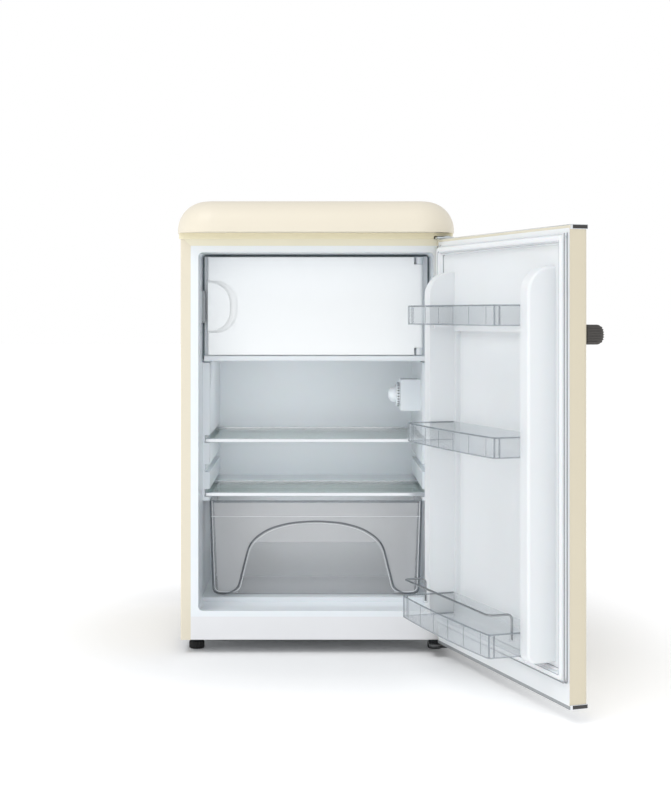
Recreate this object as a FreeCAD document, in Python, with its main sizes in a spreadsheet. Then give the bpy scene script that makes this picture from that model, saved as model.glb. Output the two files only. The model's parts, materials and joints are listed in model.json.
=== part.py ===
# Mini fridge with an icebox: a parametric FreeCAD model of every separate piece.
#
# Frame: millimetres, +Z up, +X to the viewer's right, the door side towards -Y.
# The origin is on the floor under the centre of the cabinet. The door is drawn closed
# and is then swung about its hinge line to the open angle that it rests at.

import FreeCAD, Part
import math
import os
import re
import Sketcher

Vector = FreeCAD.Vector
os.makedirs("parts", exist_ok=True)
doc = FreeCAD.newDocument("mini_fridge")

# ---------------------------------------------------------------- driving sizes

SIZES = [
    # cabinet
    ("cabinet_width", 536, "outer width over the steel side panels"),
    ("cabinet_depth", 505, "side panels, front edge to back edge"),
    ("body_bottom", 27, "underside of the base plate above the floor"),
    ("steel", 1, "thickness of the painted steel sheet"),
    ("front_return", 20, "width of the side panel's folded front edge"),
    ("rear_return", 12, "width of the side panel's folded back edge"),
    ("rail_height", 13, "height of the cream rail above the opening"),
    ("rail_depth", 40, "how far the rail's web runs back"),
    ("kick_height", 46, "height of the kick panel under the opening"),
    ("kick_thickness", 2, "thickness of the kick panel"),
    # moulded liner
    ("flange_width", 15, "width of the liner's white flange beside the folded steel edge"),
    ("sill_height", 11, "height of the liner's flange over the kick panel"),
    ("lintel_height", 13, "height of the liner's flange under the rail"),
    ("liner_wall", 2, "wall of the moulded cabinet liner"),
    ("rear_insulation", 38, "liner's rear wall to the back of the side panels"),
    ("opening_corner", 9, "corner radius of the opening"),
    ("rear_corner", 14, "radius of the liner's rear vertical corners"),
    ("rail_inset", 14, "how far the shelf rails stand in from the liner's walls"),
    ("rail_start", 120, "opening to the front of the shelf rails"),
    ("rail_drop", 8, "lower shelf's groove down to the lower end of the rails"),
    ("rail_gap", 3, "gap between the shelf rails and the icebox frame"),
    ("groove_height", 16, "height of a shelf groove"),
    ("groove_depth", 10, "depth of a shelf groove"),
    ("upper_shelf_height", 407, "floor of the upper shelf's groove above the floor"),
    ("spare_shelf_height", 347, "floor of the spare shelf groove above the floor"),
    ("lower_shelf_height", 296, "floor of the lower shelf's groove above the floor"),
    ("step_height", 9, "height of the step in the liner's floor"),
    ("step_start", 97, "opening to the step in the liner's floor"),
    ("hump_depth", 117, "depth of the compressor hump at the liner's rear"),
    ("hump_top", 305, "top of the compressor hump above the floor"),
    ("hump_foam", 28, "foam between the hump and the compressor space"),
    # hood
    ("overall_height", 895, "top of the hood above the floor"),
    ("hood_height", 63, "height of the hood above its collar"),
    ("collar_height", 12, "height of the collar under the hood"),
    ("collar_reach", 4, "how far the collar stands out past the cabinet"),
    ("collar_width", 34, "width of the collar's frame"),
    ("hood_side", 6.5, "how far the hood stands out past the side panels"),
    ("hood_front", 58, "how far the hood stands out over the door"),
    ("hood_back", 6, "how far the hood stands out at the back"),
    ("hood_corner", 76, "corner radius of the hood seen from above"),
    ("hood_round", 57, "rounding of the hood's upper edge"),
    ("hood_wall", 3, "wall of the moulded hood"),
    # door
    ("door_bottom", 25, "underside of the door above the floor"),
    ("door_drop", 1, "top of the side panels down to the top of the door"),
    ("door_edge", 33, "depth of the door's steel edge"),
    ("door_bow", 8, "how far the door's face bows out at its middle"),
    ("door_corner", 8, "radius of the door's vertical outer corners"),
    ("cap_height", 6, "height of the door's end caps"),
    ("cap_lip", 1, "how far the end caps stand past the steel"),
    ("seal_gap", 11, "cabinet front to the door's inner face"),
    ("seal_play", 0.6, "gap left when the seal is drawn uncompressed"),
    ("seal_width", 18, "width of the door seal"),
    ("seal_inset", 9, "door edge to the outer edge of the seal"),
    ("seal_top_inset", 14, "top of the door to the outer edge of the seal"),
    ("seal_bottom_inset", 42, "underside of the door to the outer edge of the seal"),
    ("door_angle", 109, "angle that the door rests open at"),
    ("hinge_inset", 11, "door edge to the hinge line"),
    ("hinge_reach", 25, "cabinet front to the hinge line"),
    ("pin_diameter", 8, "diameter of the hinge pins"),
    ("pin_play", 0.1, "diametral clearance of a hinge pin in its bush"),
    ("bush_diameter", 14, "outer diameter of the hinge bushes"),
    ("bush_length", 16, "length of the hinge bushes"),
    # door liner and bins
    ("cheek_width", 29, "width of a cheek"),
    ("cheek_gap", 14, "side gap between a cheek and the cabinet opening"),
    ("cheek_reach", 40, "how far the cheeks reach into the cabinet"),
    ("cheek_bottom_gap", 67, "underside of the door to the lower end of the cheeks"),
    ("cheek_top_gap", 67, "top of the door to the upper end of the cheeks"),
    ("cheek_round", 45, "rounding of the cheeks' upper front corners"),
    ("panel_recess", 10, "depth of the recess between the cheeks"),
    ("recess_bottom_gap", 97, "underside of the door to the lower end of the recess"),
    ("recess_top_gap", 12, "top bin's underside down to the upper end of the recess"),
    ("bin_reach", 88, "how far the bins' corners reach into the cabinet"),
    ("bin_bow", 6, "how far the bins' fronts bow out"),
    ("bin_height", 36, "height of a door bin"),
    ("bottle_bin_height", 41, "height of the bottom bin, which holds bottles"),
    ("bottle_bin_reach", 98, "how far the bottom bin's corners reach into the cabinet"),
    ("bin_wall", 2, "wall of a door bin"),
    ("bin_corner", 9, "rounding of the bins' inner corners"),
    ("bin_play", 1, "gap between a bin and the cheeks"),
    ("bin_lift", 30, "height a bin is lifted by to unhook it"),
    ("top_bin_drop", 167, "top of the door down to the top bin's underside"),
    ("middle_bin_height", 431, "underside of the middle bin above the floor"),
    ("bottom_bin_height", 99, "underside of the bottom bin above the floor"),
    ("guard_wire", 4, "wire diameter of the bottle guard"),
    ("guard_back", 52, "cabinet front to the guard's sockets"),
    ("guard_socket", 16, "depth of a guard socket"),
    ("guard_play", 3, "closed end of a guard socket under the wire"),
    ("guard_bend", 9, "bend of the guard's corners"),
    ("guard_rise", 30, "height of the bottle guard above the bin"),
    # handle
    ("handle_length", 170, "length of the door handle"),
    ("handle_height", 33, "height of the door handle"),
    ("handle_reach", 34, "how far the handle stands out from the door's edge face"),
    ("handle_bar", 17, "thickness of the handle's grip bar"),
    ("handle_drop", 181, "top of the door down to the handle's middle"),
    ("handle_inset", 5, "door edge to the end of the handle"),
    ("handle_post", 18, "length of a handle post along the handle"),
    ("handle_grip_depth", 6, "handle's peak to the seat of its screw"),
    ("handle_screw", 4, "diameter of a handle screw"),
    # icebox and its flap
    ("icebox_height", 215, "height of the icebox frame"),
    ("icebox_gap", 4, "gap between the icebox frame and the cabinet opening"),
    ("icebox_wall", 3, "wall of the icebox"),
    ("icebox_rear_gap", 22.5, "gap between the icebox and the liner's rear wall"),
    ("icebox_side_gap", 15, "gap between the icebox and the liner's side wall"),
    ("frame_depth", 5, "depth of the icebox frame"),
    ("flap_front", 103, "opening to the flap's front face"),
    ("flap_thickness", 14, "thickness of the flap"),
    ("flap_gap", 0.5, "gap between the flap and the icebox frame"),
    ("flap_side_gap", 7, "icebox frame's side to the flap's free edge"),
    ("pivot_inset", 17, "icebox frame's side to the flap's pivot line"),
    ("flap_sill", 13.5, "icebox frame's underside to the flap's lower edge"),
    ("flap_lintel", 2, "flap's upper edge to the top of the icebox frame"),
    ("pivot_diameter", 5, "diameter of the flap's pivot pins"),
    ("pivot_length", 12, "length of a pivot pin inside the flap"),
    ("knuckle_height", 14, "height of the frame's pivot lugs"),
    ("knuckle_play", 0.6, "gap between the flap and a pivot lug"),
    ("shell_rise", 18, "icebox frame's underside to the icebox's floor"),
    ("shell_drop", 4, "icebox frame's top to the icebox's top"),
    ("mouth_pier", 12, "extra width of the icebox frame on the pivot side"),
    ("sheet_metal", 1.5, "thickness of the evaporator plate"),
    ("catch_width", 7, "how far the catch stands out of the liner's wall"),
    ("catch_height", 65, "height of the catch"),
    ("pull_height", 97, "height of the flap's pull"),
    ("pull_width", 45, "width of the flap's pull"),
    ("pull_round", 40, "rounding of the pull's inner corners"),
    ("pull_room", 5, "finger room round the pull, above and below"),
    ("pull_side_room", 15, "finger room beside the pull"),
    ("plug_inset", 26, "flap's free edge to its inner plug"),
    ("plug_pivot_gap", 30, "inner plug to the pivot line"),
    ("plug_rise", 12.5, "flap's edges to the inner plug, above and below"),
    ("plug_depth", 8, "depth of the flap's inner plug"),
    # shelves and drawer
    ("shelf_side_gap", 2, "gap between a shelf's edge and the groove's floor"),
    ("glass", 4, "thickness of the shelf glass"),
    ("upper_shelf_gap", 8, "upper shelf to the liner's rear wall"),
    ("lower_shelf_gap", 3, "lower shelf to the compressor hump"),
    ("trim_depth", 12, "depth of a shelf trim"),
    ("trim_height", 8, "height of a shelf trim"),
    ("drawer_draft", 9, "how much narrower each side of the drawer is at its base"),
    ("drawer_front", 121, "opening to the drawer's front"),
    ("drawer_rear_gap", 7, "gap between the drawer's rim and the compressor hump"),
    ("drawer_shelf_gap", 7.785, "lower shelf's groove down to the top of the drawer"),
    ("drawer_wall", 2.5, "wall of the drawer"),
    ("drawer_play", 0.8, "gap between the drawer and the liner's floor"),
    # thermostat and lamp
    ("control_width", 41, "width of the control housing"),
    ("control_front", 190, "opening to the front of the control housing"),
    ("control_depth", 76, "depth of the control housing"),
    ("control_drop", 107, "icebox frame's underside down to the control housing's"),
    ("control_height", 66, "height of the control housing"),
    ("dial_radius", 25, "radius of the thermostat dial's rim"),
    ("knob_radius", 17, "radius of the dial's domed grip"),
    ("knob_reach", 24, "how far the dial stands out of the housing"),
    ("shaft_diameter", 6, "diameter of the thermostat's shaft"),
    ("lamp_cap", 13, "diameter of the lamp's cap"),
    # machine space
    ("compressor_radius", 55, "radius of the compressor shell"),
    ("compressor_height", 132, "height of the compressor shell"),
    ("compressor_shift", 60, "compressor's axis to the left of the middle"),
    ("foot_plate_half", 78, "compressor's axis to the end of its foot plate"),
    ("foot_plate_depth", 42, "compressor's axis to the foot plate's long side"),
    ("mount_half", 66, "compressor's axis to a rubber mount, along the foot plate"),
    ("mount_depth", 30, "compressor's axis to a rubber mount, across the foot plate"),
    ("mount_height", 8, "height of a rubber mount's pad and gap under the foot plate"),
    ("terminal_reach", 96, "compressor's axis to the outer face of the terminal box"),
    ("terminal_half", 22, "half depth of the terminal box"),
    ("terminal_low", 34, "foot plate to the underside of the terminal box"),
    ("terminal_high", 92, "foot plate to the top of the terminal box"),
    ("gland_level", 50, "foot plate to the cord gland's axis"),
    ("gland_bore", 6.4, "bore of the cord gland"),
    ("gland_length", 18, "length of the cord gland"),
    ("tray_half", 48, "half width of the evaporation tray"),
    ("tray_depth", 44, "half depth of the evaporation tray"),
    ("tray_gap", 3, "compressor's top to the evaporation tray"),
    ("tray_height", 22, "height of the evaporation tray"),
    ("tray_wall", 2, "wall of the evaporation tray"),
    ("drier_x", 150, "middle to the filter drier's axis"),
    ("drier_rise", 18, "compressor deck to the filter drier's foot"),
    ("drier_radius", 9, "radius of the filter drier"),
    ("drier_height", 92, "height of the filter drier"),
    ("deck_height", 42, "top of the compressor deck above the floor"),
    ("pipe_diameter", 5, "outer diameter of the refrigerant pipes"),
    ("suction_step", 28, "sideways step of the suction pipe"),
    ("condenser_bottom", 290, "lowest pipe of the condenser above the floor"),
    ("condenser_pitch", 42, "spacing of the condenser's pipe runs"),
    ("condenser_inset", 68, "cabinet's side to the end of the condenser's straight runs"),
    ("condenser_offset", 16, "back panel to the condenser pipe"),
    ("condenser_wire", 1.6, "diameter of the condenser's wires"),
    ("condenser_wire_pitch", 20, "spacing of the condenser's wires"),
    # feet
    ("foot_radius", 15.5, "radius of the levelling feet"),
    ("foot_height", 15, "height of a levelling foot's pad"),
    ("foot_inset", 28, "cabinet's side to a foot's axis"),
    ("foot_front", 54, "cabinet front to a front foot's axis"),
    ("foot_back", 45, "cabinet back to a rear foot's axis"),
    ("stud_diameter", 10, "diameter of a levelling foot's stud"),
    ("stud_play", 0.16, "diametral clearance of a foot's stud in its nut"),
]

# Places worked out from the driving sizes, by name.
PLACES = {
    "body_top": "overall_height - hood_height - collar_height",
    "opening_bottom": "body_bottom + kick_height + sill_height",
    "opening_top": "body_top - rail_height - lintel_height",
    "half": "cabinet_width/2",
    "front": "-cabinet_depth/2",
    "back": "cabinet_depth/2",
    "opening_half": "half - front_return - flange_width",
    "rail_bottom_edge": "body_top - rail_height",
    "kick_top": "body_bottom + kick_height",
    "hood_bottom": "body_top + collar_height",
    "hood_half": "half + hood_side",
    "liner_back": "back - rear_insulation",
    "hump_front": "liner_back - hump_depth",
    "comp_front": "hump_front + liner_wall + hump_foam",
    "comp_top": "hump_top - liner_wall - hump_foam",
    "door_top": "body_top - door_drop",
    "door_inner": "front - seal_gap",
    "door_face": "front - seal_gap - door_edge",
    "door_peak": "front - seal_gap - door_edge - door_bow",
    "bow_radius": "(half^2 + door_bow^2)/(2*door_bow)",
    "skin_bottom": "door_bottom + cap_height",
    "skin_top": "door_top - cap_height",
    "hinge_x": "half - hinge_inset",
    "hinge_y": "front - hinge_reach",
    "cheek_outer": "opening_half - cheek_gap",
    "cheek_inner": "cheek_outer - cheek_width",
    "cheek_top": "door_top - cheek_top_gap",
    "cheek_bottom": "door_bottom + cheek_bottom_gap",
    "top_bin_height": "door_top - top_bin_drop",
    "recess_top": "top_bin_height - recess_top_gap",
    "recess_bottom": "door_bottom + recess_bottom_gap",
    "bin_half": "cheek_inner - bin_play",
    "bin_back": "door_inner + 2",
    "bin_bow_radius": "(bin_half^2 + bin_bow^2)/(2*bin_bow)",
    "handle_peak": "door_face - handle_reach",
    "handle_level": "door_top - handle_drop",
    "icebox_top": "opening_top - icebox_gap",
    "icebox_bottom": "icebox_top - icebox_height",
    "icebox_half": "opening_half - icebox_side_gap",
    "icebox_depth": "liner_back - icebox_rear_gap - shell_y",
    "frame_half": "opening_half - icebox_gap",
    "flap_left": "frame_half - flap_side_gap",
    "flap_pivot": "frame_half - pivot_inset",
    "flap_bottom": "icebox_bottom + flap_sill",
    "flap_top": "icebox_top - flap_lintel",
    "flap_middle": "(flap_bottom + flap_top)/2 - 1.75",
    "flap_y": "front + flap_front",
    "pivot_y": "front + flap_front + flap_thickness/2",
    "frame_y": "front + flap_front + flap_thickness + flap_gap",
    "shell_y": "frame_y + frame_depth",
    "shelf_y": "front + rail_start + 1",
    "upper_shelf_depth": "liner_back - upper_shelf_gap - shelf_y",
    "lower_shelf_depth": "hump_front - lower_shelf_gap - shelf_y",
    "drawer_depth": "hump_front - drawer_rear_gap - front - drawer_front",
    "drawer_half_top": "rail_half",
    "drawer_half_bottom": "rail_half - drawer_draft",
    "control_inner": "rail_half - control_width",
    "control_bottom": "icebox_bottom - control_drop",
    "control_y": "front + control_front",
    "control_mid_y": "front + control_front + control_depth/2",
    "control_mid_z": "control_bottom + control_height/2",
    "rail_half": "opening_half - rail_inset",
    "rail_bottom": "lower_shelf_height - rail_drop",
    "rail_top": "icebox_bottom - rail_gap",
    "shelf_half": "rail_half + groove_depth - shelf_side_gap",
    "condenser_half": "half - condenser_inset",
    "foot_side": "half - foot_inset",
    "floor_top": "opening_bottom + step_height",
    "foot_y": "front + foot_front",
    "rear_foot_y": "back - foot_back",
}

sheet = doc.addObject("Spreadsheet::Sheet", "Sizes")
for row, (alias, value, note) in enumerate(SIZES, start=1):
    sheet.set("A%d" % row, alias)
    sheet.set("B%d" % row, str(value))
    sheet.set("C%d" % row, note)
    sheet.setAlias("B%d" % row, alias)
doc.recompute()
ALIASES = {alias for alias, _, _ in SIZES}


def expr(text):
    """A formula in the names above as a FreeCAD expression on the sheet."""

    def swap(match):
        word = match.group(0)
        if word in PLACES:
            return "(" + expr(PLACES[word]) + ")"
        if word in ALIASES:
            return "Sizes." + word
        return word

    return re.sub(r"[a-z][a-z_]*[a-z]", swap, str(text))


def number(text):
    """The value of a formula, for the few places that take a plain number."""
    return float(sheet.evalExpression(expr(text)))


# ---------------------------------------------------------------- building helpers

PIECES = []
serial = {"next": 0}


def add(kind, name):
    """A new document object with a name that isn't taken."""
    serial["next"] += 1
    return doc.addObject(kind, "%s_%d" % (name, serial["next"]))


def place(obj, x="0", y="0", z="0"):
    """Bind where an object stands to the sheet."""
    for axis, formula in zip("xyz", (x, y, z)):
        obj.setExpression("Placement.Base." + axis, expr(formula))
    return obj


def box(x0, x1, y0, y1, z0, z1, name="block"):
    """A block between two corners."""
    obj = add("Part::Box", name)
    obj.setExpression("Length", expr("(%s) - (%s)" % (x1, x0)))
    obj.setExpression("Width", expr("(%s) - (%s)" % (y1, y0)))
    obj.setExpression("Height", expr("(%s) - (%s)" % (z1, z0)))
    return place(obj, x0, y0, z0)


TURNS = {
    "z": FreeCAD.Rotation(),
    "x": FreeCAD.Rotation(Vector(0, 1, 0), 90),
    "y": FreeCAD.Rotation(Vector(1, 0, 0), -90),
}


def cylinder(x, y, z, radius, length, axis="z", name="round"):
    """A cylinder from a point along +X, +Y or +Z."""
    obj = add("Part::Cylinder", name)
    obj.Placement = FreeCAD.Placement(Vector(), TURNS[axis])
    obj.setExpression("Radius", expr(radius))
    obj.setExpression("Height", expr(length))
    return place(obj, x, y, z)


def taper(low, high, name="taper"):
    """A block that widens upwards: each end is (x0, x1, y0, y1, z)."""
    obj = add("Part::Wedge", name)
    obj.Placement = FreeCAD.Placement(Vector(), FreeCAD.Rotation(Vector(1, 0, 0), 90))
    names = (("Xmin", "Xmax", "Zmax", "Zmin", "Ymin"), ("X2min", "X2max", "Z2max", "Z2min", "Ymax"))
    for (x0, x1, y0, y1, z), (nx0, nx1, ny0, ny1, nz) in zip((low, high), names):
        obj.setExpression(nx0, expr(x0))
        obj.setExpression(nx1, expr(x1))
        obj.setExpression(ny0, expr("-(%s)" % y0))
        obj.setExpression(ny1, expr("-(%s)" % y1))
        obj.setExpression(nz, expr(z))
    return obj


def cut(base, *tools, name="cut"):
    """The base without the tools."""
    obj = add("Part::Cut", name)
    obj.Base = base
    obj.Tool = tools[0] if len(tools) == 1 else fuse(*tools)
    return obj


def fuse(*shapes, name="fuse"):
    """Several shapes as one."""
    obj = add("Part::MultiFuse", name)
    obj.Shapes = list(shapes)
    obj.Refine = True
    return obj


def common(one, other, name="common"):
    """What two shapes share."""
    obj = add("Part::Common", name)
    obj.Base = one
    obj.Tool = other
    return obj


def mirrored(source, name="mirrored"):
    """The same piece on the other side of the middle plane."""
    obj = add("Part::Mirroring", name)
    obj.Source = source
    obj.Base = Vector(0, 0, 0)
    obj.Normal = Vector(1, 0, 0)
    return obj


def group(*shapes, name="group"):
    """Separate solids kept together as one piece of hardware."""
    obj = add("Part::Compound", name)
    obj.Links = list(shapes)
    return obj


def rounded(base, radius, chosen, name="rounded"):
    """Round the edges for which chosen(edge) is true."""
    doc.recompute()
    size = number(radius)
    edges = [i for i, edge in enumerate(base.Shape.Edges, start=1) if chosen(edge)]
    if not edges:
        raise RuntimeError("no edge to round on " + base.Name)
    obj = add("Part::Fillet", name)
    obj.Base = base
    obj.Edges = [(i, size, size) for i in edges]
    return obj


def along(edge, axis):
    """Whether an edge is straight and runs along X, Y or Z."""
    if edge.Curve.TypeId != "Part::GeomLine" or edge.Length < 1e-6:
        return False
    way = edge.tangentAt(edge.FirstParameter)
    return abs(abs(getattr(way, axis)) - 1) < 1e-6


def at(edge, tol=0.05, **planes):
    """Whether both ends of an edge lie on the named planes, such as x=3."""
    for axis, formula in planes.items():
        wanted = formula if isinstance(formula, (tuple, list)) else (formula,)
        for vertex in edge.Vertexes:
            if min(abs(getattr(vertex, axis.upper()) - number(one)) for one in wanted) > tol:
                return False
    return True


def body_sketch(body, role, points):
    """A closed outline on one of the body's own planes, every corner bound to the sheet."""
    sketch = body.newObject("Sketcher::SketchObject", body.Name + "_outline")
    plane = [o for o in body.Origin.OriginFeatures if o.Role == role][0]
    sketch.AttachmentSupport = [(plane, "")]
    sketch.MapMode = "FlatFace"
    spots = [(number(u), number(v)) for u, v in points]
    count = len(points)
    for i in range(count):
        u0, v0 = spots[i]
        u1, v1 = spots[(i + 1) % count]
        sketch.addGeometry(Part.LineSegment(Vector(u0, v0, 0), Vector(u1, v1, 0)), False)
    for i in range(count):
        sketch.addConstraint(Sketcher.Constraint("Coincident", i, 2, (i + 1) % count, 1))
    for i in range(count):
        for kind, which in (("DistanceX", 0), ("DistanceY", 1)):
            spot = Sketcher.Constraint(kind, -1, 1, i, 1, spots[i][which])
            index = sketch.addConstraint(spot)
            sketch.setExpression("Constraints[%d]" % index, expr(points[i][which]))
    return sketch


def turned(points, x, y, z="0", name="turned"):
    """A turned piece: an outline of (radius, height) revolved about a vertical axis."""
    body = add("PartDesign::Body", name)
    sketch = body_sketch(body, "XZ_Plane", points)
    doc.recompute()
    turn = body.newObject("PartDesign::Revolution", body.Name + "_turn")
    turn.Profile = sketch
    turn.ReferenceAxis = (sketch, ["V_Axis"])
    turn.Angle = 360
    return place(body, x, y, z)


def padded(points, length, x="0", y="0", z="0", role="XY_Plane", name="padded"):
    """A sheet or block: an outline on a plane, padded by a length."""
    body = add("PartDesign::Body", name)
    sketch = body_sketch(body, role, points)
    doc.recompute()
    pad = body.newObject("PartDesign::Pad", body.Name + "_pad")
    pad.Profile = sketch
    pad.setExpression("Length", expr(length))
    return place(body, x, y, z)


def piece(label, obj):
    """Name a finished sub-part: the name of its file and node."""
    obj.Label = label
    PIECES.append(obj)
    return obj


def swung(label, obj):
    """Name a piece of the door and swing it about the hinge line to the open angle."""
    turn = "cos(door_angle)", "sin(door_angle)"
    obj.setExpression("Placement.Rotation.Angle", expr("door_angle"))
    place(
        obj,
        "hinge_x - (hinge_x*%s - hinge_y*%s)" % turn,
        "hinge_y - (hinge_x*%s + hinge_y*%s)" % (turn[1], turn[0]),
        "0",
    )
    return piece(label, obj)


# ---------------------------------------------------------------- cabinet

def side_panels():
    """The two folded steel sides, each with a mitred front edge and a back edge."""
    wall = box("-half", "-half + steel", "front", "back", "body_bottom", "body_top")
    front_edge = box(
        "-half", "-half + front_return", "front", "front + steel", "body_bottom", "body_top"
    )
    back_edge = box(
        "-half", "-half + rear_return", "back - steel", "back", "body_bottom", "body_top"
    )
    folded = fuse(wall, front_edge, back_edge)
    mitre = padded(
        [
            ("-half + front_return", "rail_bottom_edge"),
            ("-half + front_return + 1", "rail_bottom_edge"),
            ("-half + front_return + 1", "body_top + 1"),
            ("-half + front_return - rail_height - 1", "body_top + 1"),
        ],
        "3*steel",
        y="front + 2*steel",
        role="XZ_Plane",
        name="mitre",
    )
    left = cut(folded, mitre)
    left = rounded(left, "2*steel", lambda e: along(e, "z") and at(e, x="-half", y="front"))
    piece("side_panel_left", left)
    piece("side_panel_right", mirrored(left))


def top_rail():
    """The cream rail above the opening, mitred to the side panels, with a web to the back."""
    face = padded(
        [
            ("-half + front_return", "rail_bottom_edge"),
            ("half - front_return", "rail_bottom_edge"),
            ("half - front_return + rail_height", "body_top"),
            ("-half + front_return - rail_height", "body_top"),
        ],
        "steel",
        y="front + steel",
        role="XZ_Plane",
        name="rail_face",
    )
    web = box(
        "-half + steel",
        "half - steel",
        "front + steel",
        "front + rail_depth",
        "body_top - steel",
        "body_top",
    )
    piece("top_rail", fuse(face, web))


def kick_panel():
    """The white panel under the opening."""
    across = ("-half + front_return", "half - front_return")
    panel = box(*across, "front", "front + kick_thickness", "body_bottom", "kick_top")
    foot = box(*across, "front", "front + 14", "body_bottom", "body_bottom + kick_thickness")
    panel = rounded(
        fuse(panel, foot), "1.2", lambda e: along(e, "x") and at(e, y="front", z="body_bottom")
    )
    piece("kick_panel", panel)


def liner_outside():
    """The outer form of the liner's tub, which the foam is moulded round."""
    sides = ("-opening_half - liner_wall", "opening_half + liner_wall")
    levels = ("opening_bottom - liner_wall", "opening_top + liner_wall")
    tub = box(*sides, "front + liner_wall", "liner_back + liner_wall", *levels)
    return rounded(
        tub, "rear_corner", lambda e: along(e, "z") and at(e, y="liner_back + liner_wall")
    )


def hump_space(gap):
    """The space behind the hump, a gap in from its skin, open to the back."""
    sides = ("-opening_half - liner_wall - 1", "opening_half + liner_wall + 1")
    start = "hump_front + (%s)" % gap
    top = "hump_top - (%s)" % gap
    return box(*sides, start, "back + 1", "body_bottom", top)


def inner_liner():
    """The white tub: flange, walls, shelf rails with grooves, stepped floor and hump."""
    tub = liner_outside()
    flange = box(
        "-half + front_return",
        "half - front_return",
        "front",
        "front + liner_wall",
        "kick_top",
        "rail_bottom_edge",
    )
    hollow = box(
        "-opening_half", "opening_half", "front - 1", "liner_back", "opening_bottom", "opening_top"
    )
    hollow = rounded(
        hollow, "rear_corner - liner_wall", lambda e: along(e, "z") and at(e, y="liner_back")
    )
    hollow = rounded(hollow, "opening_corner", lambda e: along(e, "y"))
    step = box(
        "-opening_half",
        "opening_half",
        "front + step_start",
        "liner_back",
        "opening_bottom",
        "floor_top",
    )
    hump = box(
        "-opening_half", "opening_half", "hump_front", "liner_back", "opening_bottom", "hump_top"
    )
    rail_parts = [
        box(
            "-opening_half",
            "-rail_half",
            "front + rail_start",
            "liner_back",
            "rail_bottom",
            "rail_top",
        ),
    ]
    for level in ("upper_shelf_height", "spare_shelf_height", "lower_shelf_height"):
        rail_parts.append(
            box(
                "-rail_half - groove_depth",
                "-rail_half + 1",
                "front + rail_start - 1",
                "liner_back - liner_wall",
                level,
                level + " + groove_height",
            )
        )
    rail = cut(*rail_parts)
    solid_part = fuse(step, hump, rail, mirrored(rail))
    shell = fuse(cut(fuse(tub, flange), hollow), common(solid_part, tub))
    piece("inner_liner", cut(shell, hump_space("liner_wall")))


def cabinet_foam():
    """The foamed core between the steel and the liner, stepped round the machine space."""
    block = box(
        "-half + steel",
        "half - steel",
        "front + liner_wall",
        "back - steel",
        "body_bottom + 2*steel",
        "body_top - steel",
    )
    tub = liner_outside()
    machine = box("-half", "half", "comp_front", "back + 1", "body_bottom", "comp_top")
    behind_hump = common(tub, hump_space("liner_wall"))
    core = fuse(cut(block, tub), common(behind_hump, block))
    studs = [
        cylinder(x, "foot_y", "body_bottom", "stud_diameter/2 + 3", "26")
        for x in ("-foot_side", "foot_side")
    ]
    kick = box(
        "-half", "half", "front", "front + 14", "body_bottom", "body_bottom + kick_thickness"
    )
    rail_slot = box("-half", "half", "front", "front + rail_depth", "body_top - steel", "body_top")
    piece("cabinet_foam", cut(core, machine, kick, rail_slot, *studs))


def back_and_base():
    """The steel back panel, the base plate and the deck that carries the compressor."""
    inside = ("-half + rear_return", "half - rear_return")
    piece("back_panel", box(*inside, "back - steel", "back", "comp_top", "body_top"))
    plate = box(
        "-half + steel",
        "half - steel",
        "front + 14",
        "back - steel",
        "body_bottom",
        "body_bottom + 2*steel",
    )
    holes = [
        cylinder(x, "foot_y", "0", "stud_diameter/2 + 1", "60")
        for x in ("-foot_side", "foot_side")
    ]
    piece("base_plate", cut(plate, *holes))
    top = box(
        "-half + 40",
        "half - 40",
        "comp_front + 6",
        "back - 4",
        "deck_height - 2*steel",
        "deck_height",
    )
    legs = [
        box(x0, x1, "comp_front + 6", "back - 4", "body_bottom + 2*steel", "deck_height")
        for x0, x1 in (("-half + 40", "-half + 42"), ("half - 42", "half - 40"))
    ]
    piece("compressor_deck", fuse(top, *legs))


def hood_form(margin):
    """The hood's pillow shape, pulled in all round by a margin."""
    left, right = "-hood_half + (%s)" % margin, "hood_half - (%s)" % margin
    front_edge, back_edge = "front - hood_front + (%s)" % margin, "back + hood_back - (%s)" % margin
    low, high = "hood_bottom + (%s)" % margin, "overall_height - (%s)" % margin
    form = box(left, right, front_edge, back_edge, low, high)
    form = rounded(
        form, "hood_corner - (%s)" % margin, lambda e: along(e, "z") and at(e, y=front_edge)
    )
    form = rounded(
        form, "hood_round - (%s)" % margin, lambda e: at(e, z=high) and not at(e, y=back_edge)
    )
    return rounded(form, "8 - (%s)" % margin, lambda e: at(e, y=back_edge) and not at(e, z=low))


def hood():
    """The rounded hood over the cabinet and the collar that it sits on."""
    window = (
        "-half + collar_width",
        "half - collar_width",
        "front + collar_width",
        "back - collar_width",
    )
    mouth = box(*window, "hood_bottom - 1", "hood_bottom + 2*hood_wall")
    piece("top_lid", cut(hood_form("0"), hood_form("hood_wall"), mouth))

    ring = box(
        "-half - collar_reach",
        "half + collar_reach",
        "front - collar_reach",
        "back + collar_reach",
        "body_top",
        "hood_bottom",
    )
    ring = rounded(ring, "12", lambda e: along(e, "z"))
    ring = rounded(ring, "3", lambda e: at(e, z="body_top"))
    middle = box(*window, "body_top - 1", "hood_bottom + 1")
    slot = box(
        "hinge_x - 24", "half + 10", "front - 10", "front + 44", "body_top - 1", "body_top + 6"
    )
    piece("lid_collar", cut(ring, middle, slot))


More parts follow.
